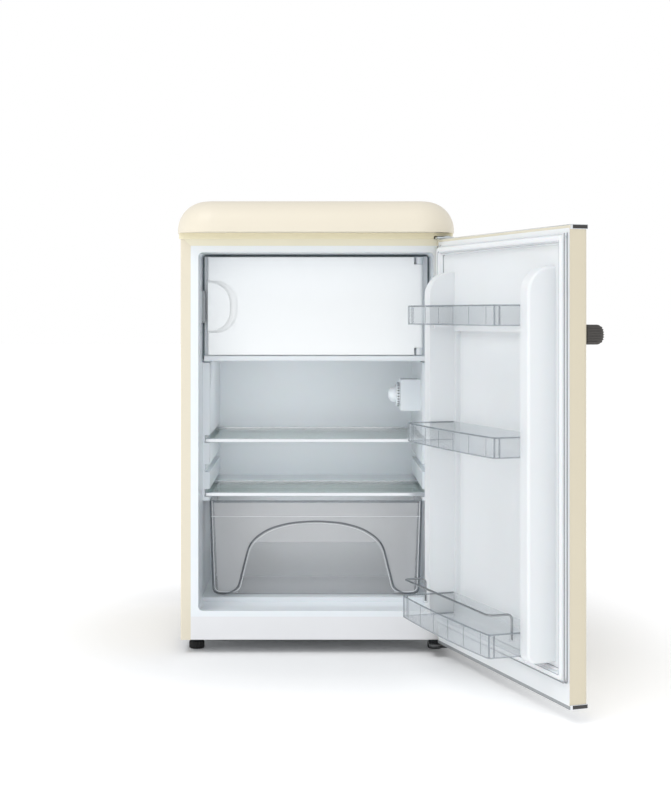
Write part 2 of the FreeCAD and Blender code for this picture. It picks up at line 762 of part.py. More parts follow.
def hinges():
    """The plates, pins and screws that hang the door on the cabinet."""
    pin = "pin_diameter/2"
    upper = box(
        "hinge_x - 22", "half + 2", "hinge_y - 12", "front + 40", "body_top", "body_top + 3"
    )
    upper = rounded(upper, "8", lambda e: along(e, "z") and at(e, y="hinge_y - 12"))
    hole = cylinder("hinge_x", "hinge_y", "body_top - 1", pin, "5")
    spots = [
        ("hinge_x - 13", "front + 14"),
        ("hinge_x - 13", "front + 32"),
        ("hinge_x + 3", "front + 23"),
    ]
    screw_holes = [cylinder(x, y, "body_top - 1", "2", "5") for x, y in spots]
    piece("upper_hinge_plate", cut(upper, hole, *screw_holes))
    shank = cylinder(
        "hinge_x",
        "hinge_y",
        "door_top - bush_length + 1",
        pin,
        "body_top - door_top + bush_length + 2",
    )
    head = cylinder("hinge_x", "hinge_y", "body_top + 3", "pin_diameter/2 + 2", "2")
    upper_pin = fuse(shank, head)

    low = "body_bottom - 8"
    lower = box(
        "hinge_x - 34",
        "half - 2",
        "hinge_y - 12",
        "front + foot_front - 10",
        low,
        "body_bottom - 5",
    )
    lower = rounded(lower, "8", lambda e: along(e, "z") and at(e, y="hinge_y - 12"))
    block = box(
        "hinge_x - 34", "half - 2", "front + 4", "front + foot_front - 10", low, "body_bottom"
    )
    hole = cylinder("hinge_x", "hinge_y", low + " - 1", pin, "5")
    spots_low = [
        ("hinge_x - 24", "front + 14"), ("hinge_x - 24", "front + 34"), ("hinge_x", "front + 24")
    ]
    screw_holes_low = [cylinder(x, y, low + " - 1", "2", "20") for x, y in spots_low]
    piece("lower_hinge_bracket", cut(fuse(lower, block), hole, *screw_holes_low))
    shank = cylinder("hinge_x", "hinge_y", low, pin, "door_bottom - (%s) + bush_length - 1" % low)
    nut = turned(
        [
            ("pin_diameter/2", "0"),
            ("pin_diameter/2 + 3", "0"),
            ("pin_diameter/2 + 3", "2"),
            ("pin_diameter/2", "2"),
        ],
        "hinge_x",
        "hinge_y",
        "body_bottom - 5",
        name="pin_washer",
    )
    piece("hinge_pins", group(upper_pin, fuse(shank, nut)))

    screws = []
    for x, y in spots:
        screws.append(
            fuse(cylinder(x, y, "body_top", "2", "3"), cylinder(x, y, "body_top + 3", "3.6", "2"))
        )
    for x, y in spots_low:
        screws.append(fuse(cylinder(x, y, low, "2", "8"), cylinder(x, y, low + " - 2", "3.6", "2")))
    piece("hinge_screws", group(*screws))


# ---------------------------------------------------------------- icebox

def icebox():
    """The icebox shell with its frame, sill, pivot lugs, pins and the catch on the wall."""
    frame = box("-frame_half", "frame_half", "frame_y", "shell_y", "icebox_bottom", "icebox_top")
    sill = box(
        "-frame_half", "frame_half", "flap_y + 1", "shell_y", "icebox_bottom", "flap_bottom - 1.5"
    )
    sill = rounded(sill, "4", lambda e: along(e, "x") and at(e, y="flap_y + 1"))
    outside = box(
        "-icebox_half",
        "icebox_half",
        "frame_y + 1",
        "shell_y + icebox_depth",
        "icebox_bottom + shell_rise - icebox_wall",
        "icebox_top - shell_drop",
    )
    inside = box(
        "-icebox_half + icebox_wall",
        "icebox_half - icebox_wall",
        "shell_y",
        "shell_y + icebox_depth - icebox_wall",
        "icebox_bottom + shell_rise",
        "icebox_top - shell_drop - icebox_wall",
    )
    shell = cut(outside, rounded(inside, "7", lambda e: along(e, "y")))
    mouth = box(
        "-icebox_half + icebox_wall",
        "icebox_half - icebox_wall - mouth_pier",
        "frame_y - 1",
        "shell_y + 1",
        "icebox_bottom + shell_rise",
        "icebox_top - shell_drop - icebox_wall",
    )
    mouth = rounded(mouth, "7", lambda e: along(e, "y"))
    lugs, pins = [], []
    lug_tops = {"flap_top": "flap_top - knuckle_height", "flap_bottom": "flap_bottom"}
    for edge, low in lug_tops.items():
        lugs.append(cylinder("flap_pivot", "pivot_y", low, "flap_thickness/2", "knuckle_height"))
        lugs.append(
            box(
                "flap_pivot - 4",
                "flap_pivot + 4",
                "pivot_y",
                "frame_y + 1",
                low,
                low + " + knuckle_height",
            ),
        )
    lower_pin = cylinder(
        "flap_pivot",
        "pivot_y",
        "flap_bottom + 2",
        "pivot_diameter/2",
        "knuckle_height - 2 + pivot_length",
    )
    upper_pin = cylinder(
        "flap_pivot",
        "pivot_y",
        "flap_top - knuckle_height - pivot_length",
        "pivot_diameter/2",
        "knuckle_height + pivot_length - 2",
    )
    for one in (lower_pin, upper_pin):
        pins.append(one)
    body = cut(fuse(cut(fuse(frame, shell), mouth), sill, *lugs), *pins)
    piece("icebox_shell", body)
    piece("flap_pins", group(*pins))

    wrap = box(
        "-icebox_half - sheet_metal",
        "icebox_half + sheet_metal",
        "shell_y + 6",
        "shell_y + icebox_depth + sheet_metal",
        "icebox_bottom + shell_rise - icebox_wall - sheet_metal",
        "icebox_top - shell_drop + sheet_metal",
    )
    piece("evaporator_plate", cut(wrap, outside))
    tip = "-opening_half + catch_width"
    levels = ("flap_middle - catch_height/2", "flap_middle + catch_height/2")
    catch = box("-opening_half", tip, "flap_y - 3", "flap_y + 9", *levels)
    catch = rounded(catch, "2.5", lambda e: along(e, "z") and at(e, x=tip))
    piece("icebox_catch", catch)


def icebox_flap():
    """The icebox's swinging flap: front panel with a full-round hinge edge, liner and pull."""
    panel = box(
        "-flap_left", "flap_pivot", "flap_y", "flap_y + flap_thickness", "flap_bottom", "flap_top"
    )
    roll = cylinder(
        "flap_pivot", "pivot_y", "flap_bottom", "flap_thickness/2", "flap_top - flap_bottom"
    )
    panel = rounded(panel, "4", lambda e: along(e, "z") and at(e, x="-flap_left"))
    knuckle_room = "flap_pivot - flap_thickness/2 - 4"
    gaps = [
        box(knuckle_room, "flap_pivot + 20", "flap_y - 5", "flap_y + 30", low, high)
        for low, high in (
            ("flap_bottom - 1", "flap_bottom + knuckle_height + knuckle_play"),
            ("flap_top - knuckle_height - knuckle_play", "flap_top + 1"),
        )
    ]
    bores = [
        cylinder(
            "flap_pivot",
            "pivot_y",
            "flap_bottom",
            "pivot_diameter/2 + 0.05",
            "knuckle_height + pivot_length + 1",
        ),
        cylinder(
            "flap_pivot",
            "pivot_y",
            "flap_top - knuckle_height - pivot_length - 1",
            "pivot_diameter/2 + 0.05",
            "knuckle_height + pivot_length + 2",
        ),
    ]
    pull_low, pull_high = "flap_middle - pull_height/2", "flap_middle + pull_height/2"
    room_end = "-flap_left + 1 + pull_width + pull_side_room"
    room = (pull_low + " - pull_room", pull_high + " + pull_room")
    grip_room = box("-flap_left - 1", room_end, "flap_y - 1", "flap_y + 6", *room)
    grip_room = rounded(
        grip_room, "pull_round + pull_room", lambda e: along(e, "y") and at(e, x=room_end)
    )
    panel = cut(fuse(panel, roll), grip_room, *gaps, *bores)
    piece("flap_panel", panel)
    rear = "flap_y + flap_thickness"
    plug = box(
        "-flap_left + plug_inset",
        "flap_pivot - plug_pivot_gap",
        rear,
        rear + " + plug_depth",
        "flap_bottom + plug_rise",
        "flap_top - plug_rise + 0.5",
    )
    plug = rounded(plug, "5", lambda e: at(e, y=rear + " + plug_depth"))
    piece("flap_liner", plug)
    pull_end = "-flap_left + 1 + pull_width"
    pull = box("-flap_left + 1", pull_end, "flap_y - 5", "flap_y + 1", pull_low, pull_high)
    pull = rounded(pull, "pull_round", lambda e: along(e, "y") and at(e, x=pull_end))
    root = box("-flap_left + 1", "-flap_left + 20", "flap_y + 1", "flap_y + 6", pull_low, pull_high)
    piece("flap_handle", fuse(pull, root))


# ---------------------------------------------------------------- shelves and drawer

def shelf(name, level, depth):
    """A glass shelf with a plastic trim along its front and back edges."""
    low = level + " + 0.5"
    glass_low = "(%s) + (trim_height - glass)/2" % low
    end = "shelf_y + (%s)" % depth
    plate = box(
        "-shelf_half", "shelf_half", "shelf_y + 3", end + " - 3", glass_low, glass_low + " + glass"
    )
    piece(name + "_glass", plate)
    trims = []
    for y0, y1, inner, outer in (
        ("shelf_y", "shelf_y + trim_depth", "shelf_y + 3", "shelf_y + trim_depth + 1"),
        (end + " - trim_depth", end, end + " - trim_depth - 1", end + " - 3"),
    ):
        bar = box("-shelf_half", "shelf_half", y0, y1, low, "(%s) + trim_height" % low)
        outside = y0 if y0 == "shelf_y" else y1
        bar = rounded(bar, "1.5", lambda e, y=outside: along(e, "x") and at(e, y=y))
        slot = box(
            "-shelf_half - 1", "shelf_half + 1", inner, outer, glass_low, glass_low + " + glass"
        )
        trims.append(cut(bar, slot))
    piece(name + "_trim", group(*trims))


def crisper_drawer():
    """The clear drawer under the lower shelf, a little wider at its rim than at its base."""
    y0 = "front + drawer_front"
    y1 = y0 + " + drawer_depth"
    low = "floor_top + drawer_play"
    high = "lower_shelf_height - drawer_shelf_gap"
    wall = "drawer_wall"
    outer = taper(
        ("-drawer_half_bottom", "drawer_half_bottom", y0 + " + 1", y1 + " - 8", low),
        ("-drawer_half_top", "drawer_half_top", y0, y1, high),
    )
    outer = rounded(outer, "10", lambda e: abs(e.Vertexes[0].Z - e.Vertexes[-1].Z) > 50)
    outer = rounded(outer, "8", lambda e: at(e, z=low))
    inner = taper(
        (
            "-drawer_half_bottom + " + wall,
            "drawer_half_bottom - " + wall,
            y0 + " + 1 + " + wall,
            y1 + " - 8 - " + wall,
            low + " + " + wall,
        ),
        (
            "-drawer_half_top + " + wall,
            "drawer_half_top - " + wall,
            y0 + " + " + wall,
            y1 + " - " + wall,
            high + " + 1",
        ),
    )
    inner = rounded(inner, "8", lambda e: abs(e.Vertexes[0].Z - e.Vertexes[-1].Z) > 50)
    piece("crisper_drawer", cut(outer, inner))


# ---------------------------------------------------------------- thermostat and lamp

def thermostat():
    """The control housing on the right wall with its switch, dial, lamp and lamp cover."""
    side = ("control_inner", "rail_half")
    levels = ("control_bottom", "control_bottom + control_height")
    case = box(*side, "control_y", "control_y + control_depth", *levels)
    case = rounded(case, "3", lambda e: along(e, "y") and at(e, x="control_inner"))
    hollow = box(
        "control_inner + 2",
        "rail_half + 1",
        "control_y + 2",
        "control_y + control_depth - 2",
        "control_bottom + 2",
        levels[1] + " - 2",
    )
    bore = cylinder(
        "control_inner - 1", "control_mid_y", "control_mid_z", "shaft_diameter/2 + 1", "5", "x"
    )
    end = "control_y + control_depth"
    socket = cylinder("control_inner + 20", end + " - 4", "control_mid_z", "lamp_cap/2", "8", "y")
    piece("control_housing", cut(case, hollow, bore, socket))
    block = box(
        "control_inner + 6",
        "rail_half - 2",
        "control_mid_y - 16",
        "control_mid_y + 16",
        "control_mid_z - 18",
        "control_mid_z + 18",
    )
    shaft = cylinder(
        "control_inner - 10", "control_mid_y", "control_mid_z", "shaft_diameter/2", "20", "x"
    )
    piece("thermostat_switch", fuse(block, shaft))

    disc = cylinder(
        "control_inner - 8", "control_mid_y", "control_mid_z", "dial_radius", "7.5", "x"
    )
    disc = rounded(disc, "1", lambda e: at(e, x="control_inner - 8"))
    reach = "knob_reach - 8"
    dome = cylinder(
        "control_inner - knob_reach",
        "control_mid_y",
        "control_mid_z",
        "knob_radius",
        reach + " + 1",
        "x",
    )
    dome = rounded(dome, "knob_radius - 3", lambda e: at(e, x="control_inner - knob_reach"))
    bore = cylinder(
        "control_inner - 11", "control_mid_y", "control_mid_z", "shaft_diameter/2 + 0.05", "12", "x"
    )
    piece("thermostat_knob", cut(fuse(disc, dome), bore))

    y0 = "control_y + control_depth"
    cover = box(
        "control_inner + 4", "rail_half", y0, y0 + " + 34", "control_bottom + 6", levels[1] + " - 6"
    )
    cover = rounded(cover, "6", lambda e: at(e, y=y0 + " + 34"))
    hollow = box(
        "control_inner + 6",
        "rail_half + 1",
        y0 + " - 1",
        y0 + " + 32",
        "control_bottom + 8",
        levels[1] + " - 8",
    )
    piece("lamp_cover", cut(cover, hollow))
    globe = cylinder("control_inner + 20", y0 + " + 8", "control_mid_z", "8", "18", "y")
    globe = rounded(globe, "7", lambda e: at(e, y=y0 + " + 26"))
    cap = cylinder("control_inner + 20", y0 + " - 2", "control_mid_z", "lamp_cap/2", "10", "y")
    piece("lamp_bulb", fuse(globe, cap))


# ---------------------------------------------------------------- door

def door_form(margin, low, high, inner_edge):
    """The bowed outline of the door, pulled in by a margin, between two heights."""
    side = "half - (%s)" % margin
    block = box("-(%s)" % side, side, "door_peak - 2", inner_edge, low, high)
    bow = cylinder(
        "0",
        "door_peak + bow_radius",
        low,
        "bow_radius - (%s)" % margin,
        "(%s) - (%s)" % (high, low),
    )
    form = common(block, bow)
    return rounded(
        form,
        "door_corner - (%s)" % margin,
        lambda e: (
            along(e, "z")
            and at(e, x=("-(%s)" % side, side))
            and e.Vertexes[0].Y < number("door_inner - 10")
        ),
    )


def hinge_bores(radius):
    """The two round holes on the hinge line at the door's top and bottom."""
    return [
        cylinder("hinge_x", "hinge_y", "door_top - bush_length", radius, "bush_length + 1"),
        cylinder("hinge_x", "hinge_y", "door_bottom - 1", radius, "bush_length + 1"),
    ]


def door_shell():
    """The bowed steel skin, the foam behind it, the end caps and the hinge bushes."""
    outer = door_form("0", "skin_bottom", "skin_top", "door_inner")
    inner = door_form("steel", "skin_bottom - 1", "skin_top + 1", "door_inner + 1")
    swung("door_skin", cut(outer, inner))

    foam = door_form("steel", "skin_bottom", "skin_top", "door_inner - liner_wall")
    recess = box(
        "-cheek_inner + 2",
        "cheek_inner - 2",
        "door_inner - liner_wall - panel_recess",
        "door_inner",
        "recess_bottom - liner_wall",
        "recess_top + liner_wall",
    )
    swung("door_foam", cut(foam, recess, *hinge_bores("bush_diameter/2")))

    for label, low, high, rim in (
        ("door_top_cap", "skin_top", "door_top", "door_top"),
        ("door_bottom_cap", "door_bottom", "skin_bottom", "door_bottom"),
    ):
        cap = door_form("-cap_lip", low, high, "door_inner")
        cap = rounded(
            cap, "2", lambda e, z=rim: at(e, z=z) and e.Vertexes[0].Y < number("door_inner - 2")
        )
        swung(label, cut(cap, *hinge_bores("bush_diameter/2")))
    bores = hinge_bores("(pin_diameter + pin_play)/2")
    bushes = []
    for low, bore in (("door_top - bush_length", bores[0]), ("door_bottom", bores[1])):
        bushes.append(
            cut(cylinder("hinge_x", "hinge_y", low, "bush_diameter/2", "bush_length"), bore)
        )
    swung("hinge_bushes", group(*bushes))


def door_liner():
    """The white inner moulding: rim, cheeks, recess and the pegs that the bins hang on."""
    edge = "half - steel - 0.5"
    rim = box(
        "-(%s)" % edge, edge, "door_inner - liner_wall", "door_inner", "skin_bottom", "skin_top"
    )
    dish = box(
        "-cheek_inner + 2",
        "cheek_inner - 2",
        "door_inner - liner_wall - panel_recess",
        "door_inner - 1",
        "recess_bottom - liner_wall",
        "recess_top + liner_wall",
    )
    dish_inside = box(
        "-cheek_inner + 2 + liner_wall",
        "cheek_inner - 2 - liner_wall",
        "door_inner - panel_recess",
        "door_inner + 1",
        "recess_bottom",
        "recess_top",
    )
    dish_inside = rounded(dish_inside, "8", lambda e: along(e, "y"))
    tip = "front + cheek_reach"
    cheek = box("cheek_inner", "cheek_outer", "door_inner", tip, "cheek_bottom", "cheek_top")
    cheek = rounded(cheek, "cheek_round", lambda e: along(e, "x") and at(e, y=tip, z="cheek_top"))
    cheek = rounded(cheek, "14", lambda e: along(e, "x") and at(e, y=tip, z="cheek_bottom"))
    cheek = rounded(
        cheek,
        "5",
        lambda e: at(e, x="cheek_outer") and max(v.Y for v in e.Vertexes) > number("front - 9"),
    )
    hollow = box(
        "cheek_inner + liner_wall",
        "cheek_outer - liner_wall",
        "door_inner - liner_wall",
        tip + " - 3*liner_wall",
        "cheek_bottom + 3*liner_wall",
        "cheek_top - cheek_round",
    )
    pegs = []
    for level in ("top_bin_height", "middle_bin_height", "bottom_bin_height"):
        pegs.append(
            box(
                "cheek_inner - 7",
                "cheek_inner + 1",
                "door_inner + 8",
                "front + 34",
                level + " - 7",
                level + " - 0.5",
            )
        )
    side = fuse(cheek, *pegs)
    body = fuse(rim, dish, side, mirrored(side))
    swung("door_liner", cut(body, dish_inside, hollow, mirrored(hollow)))


def door_gasket():
    """The magnetic seal that runs round the door's inner face."""
    outside = ("half - seal_inset", "door_bottom + seal_bottom_inset", "door_top - seal_top_inset")
    ring = box(
        "-(%s)" % outside[0], outside[0], "door_inner", "front - seal_play", outside[1], outside[2]
    )
    ring = rounded(ring, "3", lambda e: at(e, y="front - seal_play"))
    window = box(
        "-(%s) + seal_width" % outside[0],
        outside[0] + " - seal_width",
        "door_inner - 1",
        "front + 1",
        outside[1] + " + seal_width",
        outside[2] + " - seal_width",
    )
    swung("door_gasket", cut(ring, window))


def door_handle():
    """The ribbed grip bar, the posts that hold it and their screws."""
    x0 = "-half + handle_inset"
    x1 = x0 + " + handle_length"
    low, high = "handle_level - handle_height/2", "handle_level + handle_height/2"
    bar = box(
        x0 + " + handle_post",
        x1 + " - handle_post",
        "handle_peak",
        "handle_peak + handle_bar",
        low,
        high,
    )
    bar = rounded(bar, "7", lambda e: along(e, "x") and at(e, y="handle_peak"))
    bar = rounded(bar, "3", lambda e: along(e, "x") and at(e, y="handle_peak + handle_bar"))
    swung("handle_grip", bar)
    outside = door_form("0", "skin_bottom", "skin_top", "door_inner")
    posts, screws = [], []
    for p0, p1 in ((x0, x0 + " + handle_post"), (x1 + " - handle_post", x1)):
        post = box(p0, p1, "handle_peak", "door_inner - 12", low, high)
        post = rounded(post, "7", lambda e: along(e, "x") and at(e, y="handle_peak"))
        middle = "(%s) + handle_post/2" % p0
        bore = cylinder(
            middle, "handle_peak + handle_grip_depth", "handle_level", "handle_screw/2", "60", "y"
        )
        posts.append(cut(post, outside, bore))
        reach = "door_inner - 18 - handle_peak - handle_grip_depth"
        shank = cylinder(
            middle, "handle_peak + handle_grip_depth", "handle_level", "handle_screw/2", reach, "y"
        )
        screws.append(cut(shank, outside))
    swung("handle_posts", group(*posts))
    swung("handle_screws", group(*screws))


def door_bin(label, level, height="bin_height", reach="bin_reach", wired=False):
    """A clear bin: a tray with a bowed front that hangs between the cheeks."""
    low, high = level, level + " + " + height
    peak = "front + bin_bow + " + reach

    def form(margin, bottom, top):
        side = "bin_half - (%s)" % margin
        block = box("-(%s)" % side, side, "bin_back + (%s)" % margin, peak + " + 2", bottom, top)
        bow = cylinder(
            "0",
            peak + " - bin_bow_radius",
            bottom,
            "bin_bow_radius - (%s)" % margin,
            "(%s) - (%s)" % (top, bottom),
        )
        shape = common(block, bow)
        return rounded(
            shape,
            "bin_corner - (%s)" % margin,
            lambda e: along(e, "z") and e.Vertexes[0].Y > number("front - 12 + " + reach),
        )

    tray = cut(form("0", low, high), form("bin_wall", low + " + bin_wall", high + " + 1"))
    if wired:
        wire = "guard_wire/2"
        spots = ["bin_half - bin_wall - guard_wire", "front + guard_back", high + " - guard_socket"]
        bores = [
            cylinder(x, spots[1], spots[2], wire + " + 3", "guard_socket - 0.001")
            for x in ("-(%s)" % spots[0], spots[0])
        ]
        holders = [common(bore, form("0", low, high)) for bore in bores]
        holes = [
            cylinder(x, spots[1], spots[2] + " + guard_play", wire, "2*guard_socket")
            for x in ("-(%s)" % spots[0], spots[0])
        ]
        tray = cut(fuse(tray, *holders), *holes)
    swung(label, tray)


def bottle_guard():
    """The wire loop that stands in the bottom bin's sockets and runs across its front."""
    across = number("bin_half - bin_wall - guard_wire")
    back_y = number("front + guard_back")
    front_y = number("front + bottle_bin_reach - 3")
    foot_z = number("bottom_bin_height + bottle_bin_height - guard_socket + guard_play")
    top_z = number("bottom_bin_height + bottle_bin_height + guard_rise")
    bend = number("guard_bend")
    corner = [
        Vector(-across, back_y, foot_z),
        Vector(-across, back_y, top_z),
        Vector(-across, front_y, top_z),
        Vector(across, front_y, top_z),
        Vector(across, back_y, top_z),
        Vector(across, back_y, foot_z),
    ]
    edges, start = [], corner[0]
    for i in range(1, len(corner) - 1):
        here = corner[i]
        before = (corner[i - 1] - here).normalize()
        after = (corner[i + 1] - here).normalize()
        enter, leave = here + before * bend, here + after * bend
        middle = here + (before + after) * bend * (1 - math.sqrt(0.5))
        edges.append(Part.LineSegment(start, enter).toShape())
        edges.append(Part.Arc(enter, middle, leave).toShape())
        start = leave
    edges.append(Part.LineSegment(start, corner[-1]).toShape())
    path = Part.Wire(edges)
    ring = Part.Wire(Part.makeCircle(number("guard_wire/2"), corner[0], Vector(0, 0, 1)))
    wire = add("Part::Feature", "guard_wire")
    wire.Shape = path.makePipeShell([ring], True, True)
    swung("bottle_guard", wire)


# ---------------------------------------------------------------- machine space

def compressor():
    """The compressor with its rubber mounts, terminal box and the cord gland."""
    radius, height = "compressor_radius", "compressor_height"
    x, y = "-compressor_shift", "(comp_front + back)/2"
    base = "deck_height + mount_height"
    lower = "%s*0.82" % radius
    can = turned(
        [
            ("0", "0"),
            (lower, "0"),
            (radius, "compressor_radius*0.35"),
            (radius, height + "*0.62"),
            (radius + "*0.93", height + "*0.8"),
            (radius + "*0.66", height + "*0.95"),
            ("0", height),
        ],
        x,
        y,
        base,
        name="compressor_can",
    )
    shoulder = "(%s) + compressor_height*0.62" % base
    can = rounded(
        can, "6", lambda e: abs(e.Vertexes[0].Z - number(shoulder)) < 0.1 and e.Length > 50
    )
    plate = box(
        x + " - foot_plate_half",
        x + " + foot_plate_half",
        y + " - foot_plate_depth",
        y + " + foot_plate_depth",
        base + " - 2",
        base + " + 3",
    )
    plate = rounded(plate, "12", lambda e: along(e, "z"))
    spots = [
        (sx, sy)
        for sx in (x + " - mount_half", x + " + mount_half")
        for sy in (y + " - mount_depth", y + " + mount_depth")
    ]
    holes = [cylinder(sx, sy, base + " - 3", "4", "8") for sx, sy in spots]
    piece("compressor", cut(fuse(can, plate), *holes))
    mounts = []
    for sx, sy in spots:
        pad = cylinder(sx, sy, "deck_height", "8", "mount_height - 2")
        neck = cylinder(sx, sy, "deck_height + mount_height - 2", "4", "7")
        mounts.append(fuse(pad, neck))
    piece("compressor_mounts", group(*mounts))
    case = box(
        x + " + compressor_radius + 1",
        x + " + terminal_reach",
        y + " - terminal_half",
        y + " + terminal_half",
        base + " + terminal_low",
        base + " + terminal_high",
    )
    case = rounded(case, "4", lambda e: along(e, "z"))
    can_room = cylinder(x, y, base, radius + " + 0.01", "compressor_height")
    piece("terminal_box", cut(case, can_room))
    mouth, level = x + " + terminal_reach", base + " + gland_level"
    collar = cylinder(mouth, y, level, "gland_bore/2 + 5.8", "4", "x")
    neck = cylinder(mouth + " + 4", y, level, "gland_bore/2 + 2.8", "gland_length - 4", "x")
    neck = rounded(neck, "1.5", lambda e: at(e, x=mouth + " + gland_length"))
    throat = cylinder(mouth + " - 1", y, level, "gland_bore/2", "gland_length + 12", "x")
    piece("cord_gland", cut(fuse(collar, neck), throat))
    foot = base + " + compressor_height + tray_gap"
    tray = box(
        x + " - tray_half",
        x + " + tray_half",
        y + " - tray_depth",
        y + " + tray_depth",
        foot,
        foot + " + tray_height",
    )
    tray = rounded(tray, "10", lambda e: along(e, "z"))
    inside = box(
        x + " - tray_half + tray_wall",
        x + " + tray_half - tray_wall",
        y + " - tray_depth + tray_wall",
        y + " + tray_depth - tray_wall",
        foot + " + tray_wall",
        foot + " + tray_height + 1",
    )
    inside = rounded(inside, "8", lambda e: along(e, "z"))
    stand = cylinder(x, y, base + " + compressor_height - 1.2", "12", "5")
    can_top = cylinder(x, y, base + " + compressor_height - 10", "14", "10 - 1")
    piece("evaporation_tray", fuse(cut(tray, inside), cut(stand, can_top, can)))


def bent_pipe(points, diameter, bend, name):
    """A pipe through points, with an arc of one radius at each corner."""
    edges, start = [], points[0]
    for i in range(1, len(points) - 1):
        here = points[i]
        before = (points[i - 1] - here).normalize()
        after = (points[i + 1] - here).normalize()
        half_turn = math.acos(max(-1.0, min(1.0, -before.dot(after)))) / 2
        reach = bend * math.tan(half_turn)
        enter, leave = here + before * reach, here + after * reach
        inward = (before + after).normalize()
        middle = here + inward * (bend / math.cos(half_turn) - bend)
        if (enter - start).Length > 1e-6:
            edges.append(Part.LineSegment(start, enter).toShape())
        edges.append(Part.Arc(enter, middle, leave).toShape())
        start = leave
    edges.append(Part.LineSegment(start, points[-1]).toShape())
    path = Part.Wire(edges)
    ring = Part.Wire(Part.makeCircle(diameter / 2, points[0], (points[1] - points[0]).normalize()))
    pipe = add("Part::Feature", name)
    pipe.Shape = path.makePipeShell([ring], True, True)
    return pipe


def condenser():
    """The serpentine pipe behind the back panel, its wires, clips and the filter drier."""
    half, pitch = number("condenser_half"), number("condenser_pitch")
    y = number("back + condenser_offset")
    low, high = number("condenser_bottom"), number("body_top - 60")
    rows = 2 * int((high - low) // pitch // 2) + 1
    side, points = -1, []
    points.append(Vector(-half + 30, y, low))
    for row in range(rows):
        z = low + row * pitch
        if row:
            points.append(Vector(side * half, y, z))
        side = -side
        points.append(Vector(side * half, y, z))
    points[-1] = Vector(side * (half - 30), y, points[-1].z)
    pipe = bent_pipe(points, number("pipe_diameter"), pitch / 2 - 0.5, "condenser_pipe")
    piece("condenser_pipe", pipe)

    wire, spacing = number("condenser_wire"), number("condenser_wire_pitch")
    reach = number("condenser_half - condenser_pitch/2 - 4")
    count = int(2 * reach // spacing) + 1
    first = -(count - 1) * spacing / 2
    top = low + (rows - 1) * pitch
    gap = number("pipe_diameter/2") + wire / 2
    wires = []
    for i in range(count):
        for face in (-1, 1):
            foot = Vector(first + i * spacing, y + face * gap, low - 8)
            wires.append(Part.makeCylinder(wire / 2, top - low + 16, foot))
    grid = add("Part::Feature", "condenser_wires")
    grid.Shape = Part.makeCompound(wires)
    piece("condenser_wires", grid)

    clips = []
    for x in ("-condenser_half + 45", "condenser_half - 45"):
        for row in (1, rows - 2):
            z = "condenser_bottom + %d*condenser_pitch" % row
            arm = box(
                x + " - 7",
                x + " + 7",
                "back",
                "back + condenser_offset + 6",
                z + " - 7",
                z + " + 7",
            )
            room = cylinder(x + " - 8", "back + condenser_offset", z, "pipe_diameter/2", "16", "x")
            mouth = box(
                x + " - 8",
                x + " + 8",
                "back + condenser_offset",
                "back + condenser_offset + 7",
                z + " - 1.5",
                z + " + 1.5",
            )
            wire_room = [
                box(
                    "%f - 1" % (first + i * spacing),
                    "%f + 1" % (first + i * spacing),
                    "back + condenser_offset - pipe_diameter/2 - 2*condenser_wire",
                    "back + condenser_offset + 8",
                    z + " - 8",
                    z + " + 8",
                )
                for i in range(count)
                if abs(first + i * spacing - number(x)) < 9
            ]
            clips.append(cut(arm, room, mouth, *wire_room))
    piece("condenser_clips", group(*clips))


def pipework():
    """The filter drier and the pipes between compressor, condenser and icebox."""
    dry_x, dry_y = "150", "(comp_front + back)/2"
    base = "deck_height + 60"
    drier = turned(
        [
            ("0", "0"), ("4", "0"), ("9", "10"), ("9", "80"), ("4", "92"), ("0", "92")
        ], dry_x, dry_y, base, name="drier"
    )
    piece("filter_drier", drier)
    y, out = number(dry_y), number("back + condenser_offset")
    half, low = number("condenser_half"), number("condenser_bottom")
    pitch = number("condenser_pitch")
    rows = 2 * int((number("body_top - 60") - low) // pitch // 2) + 1
    top = low + (rows - 1) * pitch
    middle = number("deck_height + 8 + compressor_height*0.5")
    side_x = number("-compressor_shift - compressor_radius")
    size = number("pipe_diameter")
    side_y = y - number("suction_step")
    discharge = bent_pipe(
        [
            Vector(side_x, y, middle),
            Vector(-half, y, middle),
            Vector(-half, out, middle),
            Vector(-half, out, low),
            Vector(-half + 30, out, low),
        ],
        size,
        12.0,
        "discharge_pipe",
    )
    suction = bent_pipe(
        [
            Vector(side_x, y, middle - 15),
            Vector(side_x - 30, y, middle - 15),
            Vector(side_x - 30, side_y, middle - 15),
            Vector(side_x - 30, side_y, number("comp_top")),
        ],
        size,
        12.0,
        "suction_pipe",
    )
    neck, drier = number(base + " + drier_height"), number("drier_x")
    liquid = bent_pipe(
        [
            Vector(half - 30, out, top),
            Vector(half + 16, out, top),
            Vector(half + 16, out, neck + 40),
            Vector(drier, out, neck + 40),
            Vector(drier, y, neck + 40),
            Vector(drier, y, neck),
        ],
        size,
        12.0,
        "liquid_pipe",
    )
    piece("refrigerant_pipes", group(discharge, suction, liquid))


# ---------------------------------------------------------------- feet

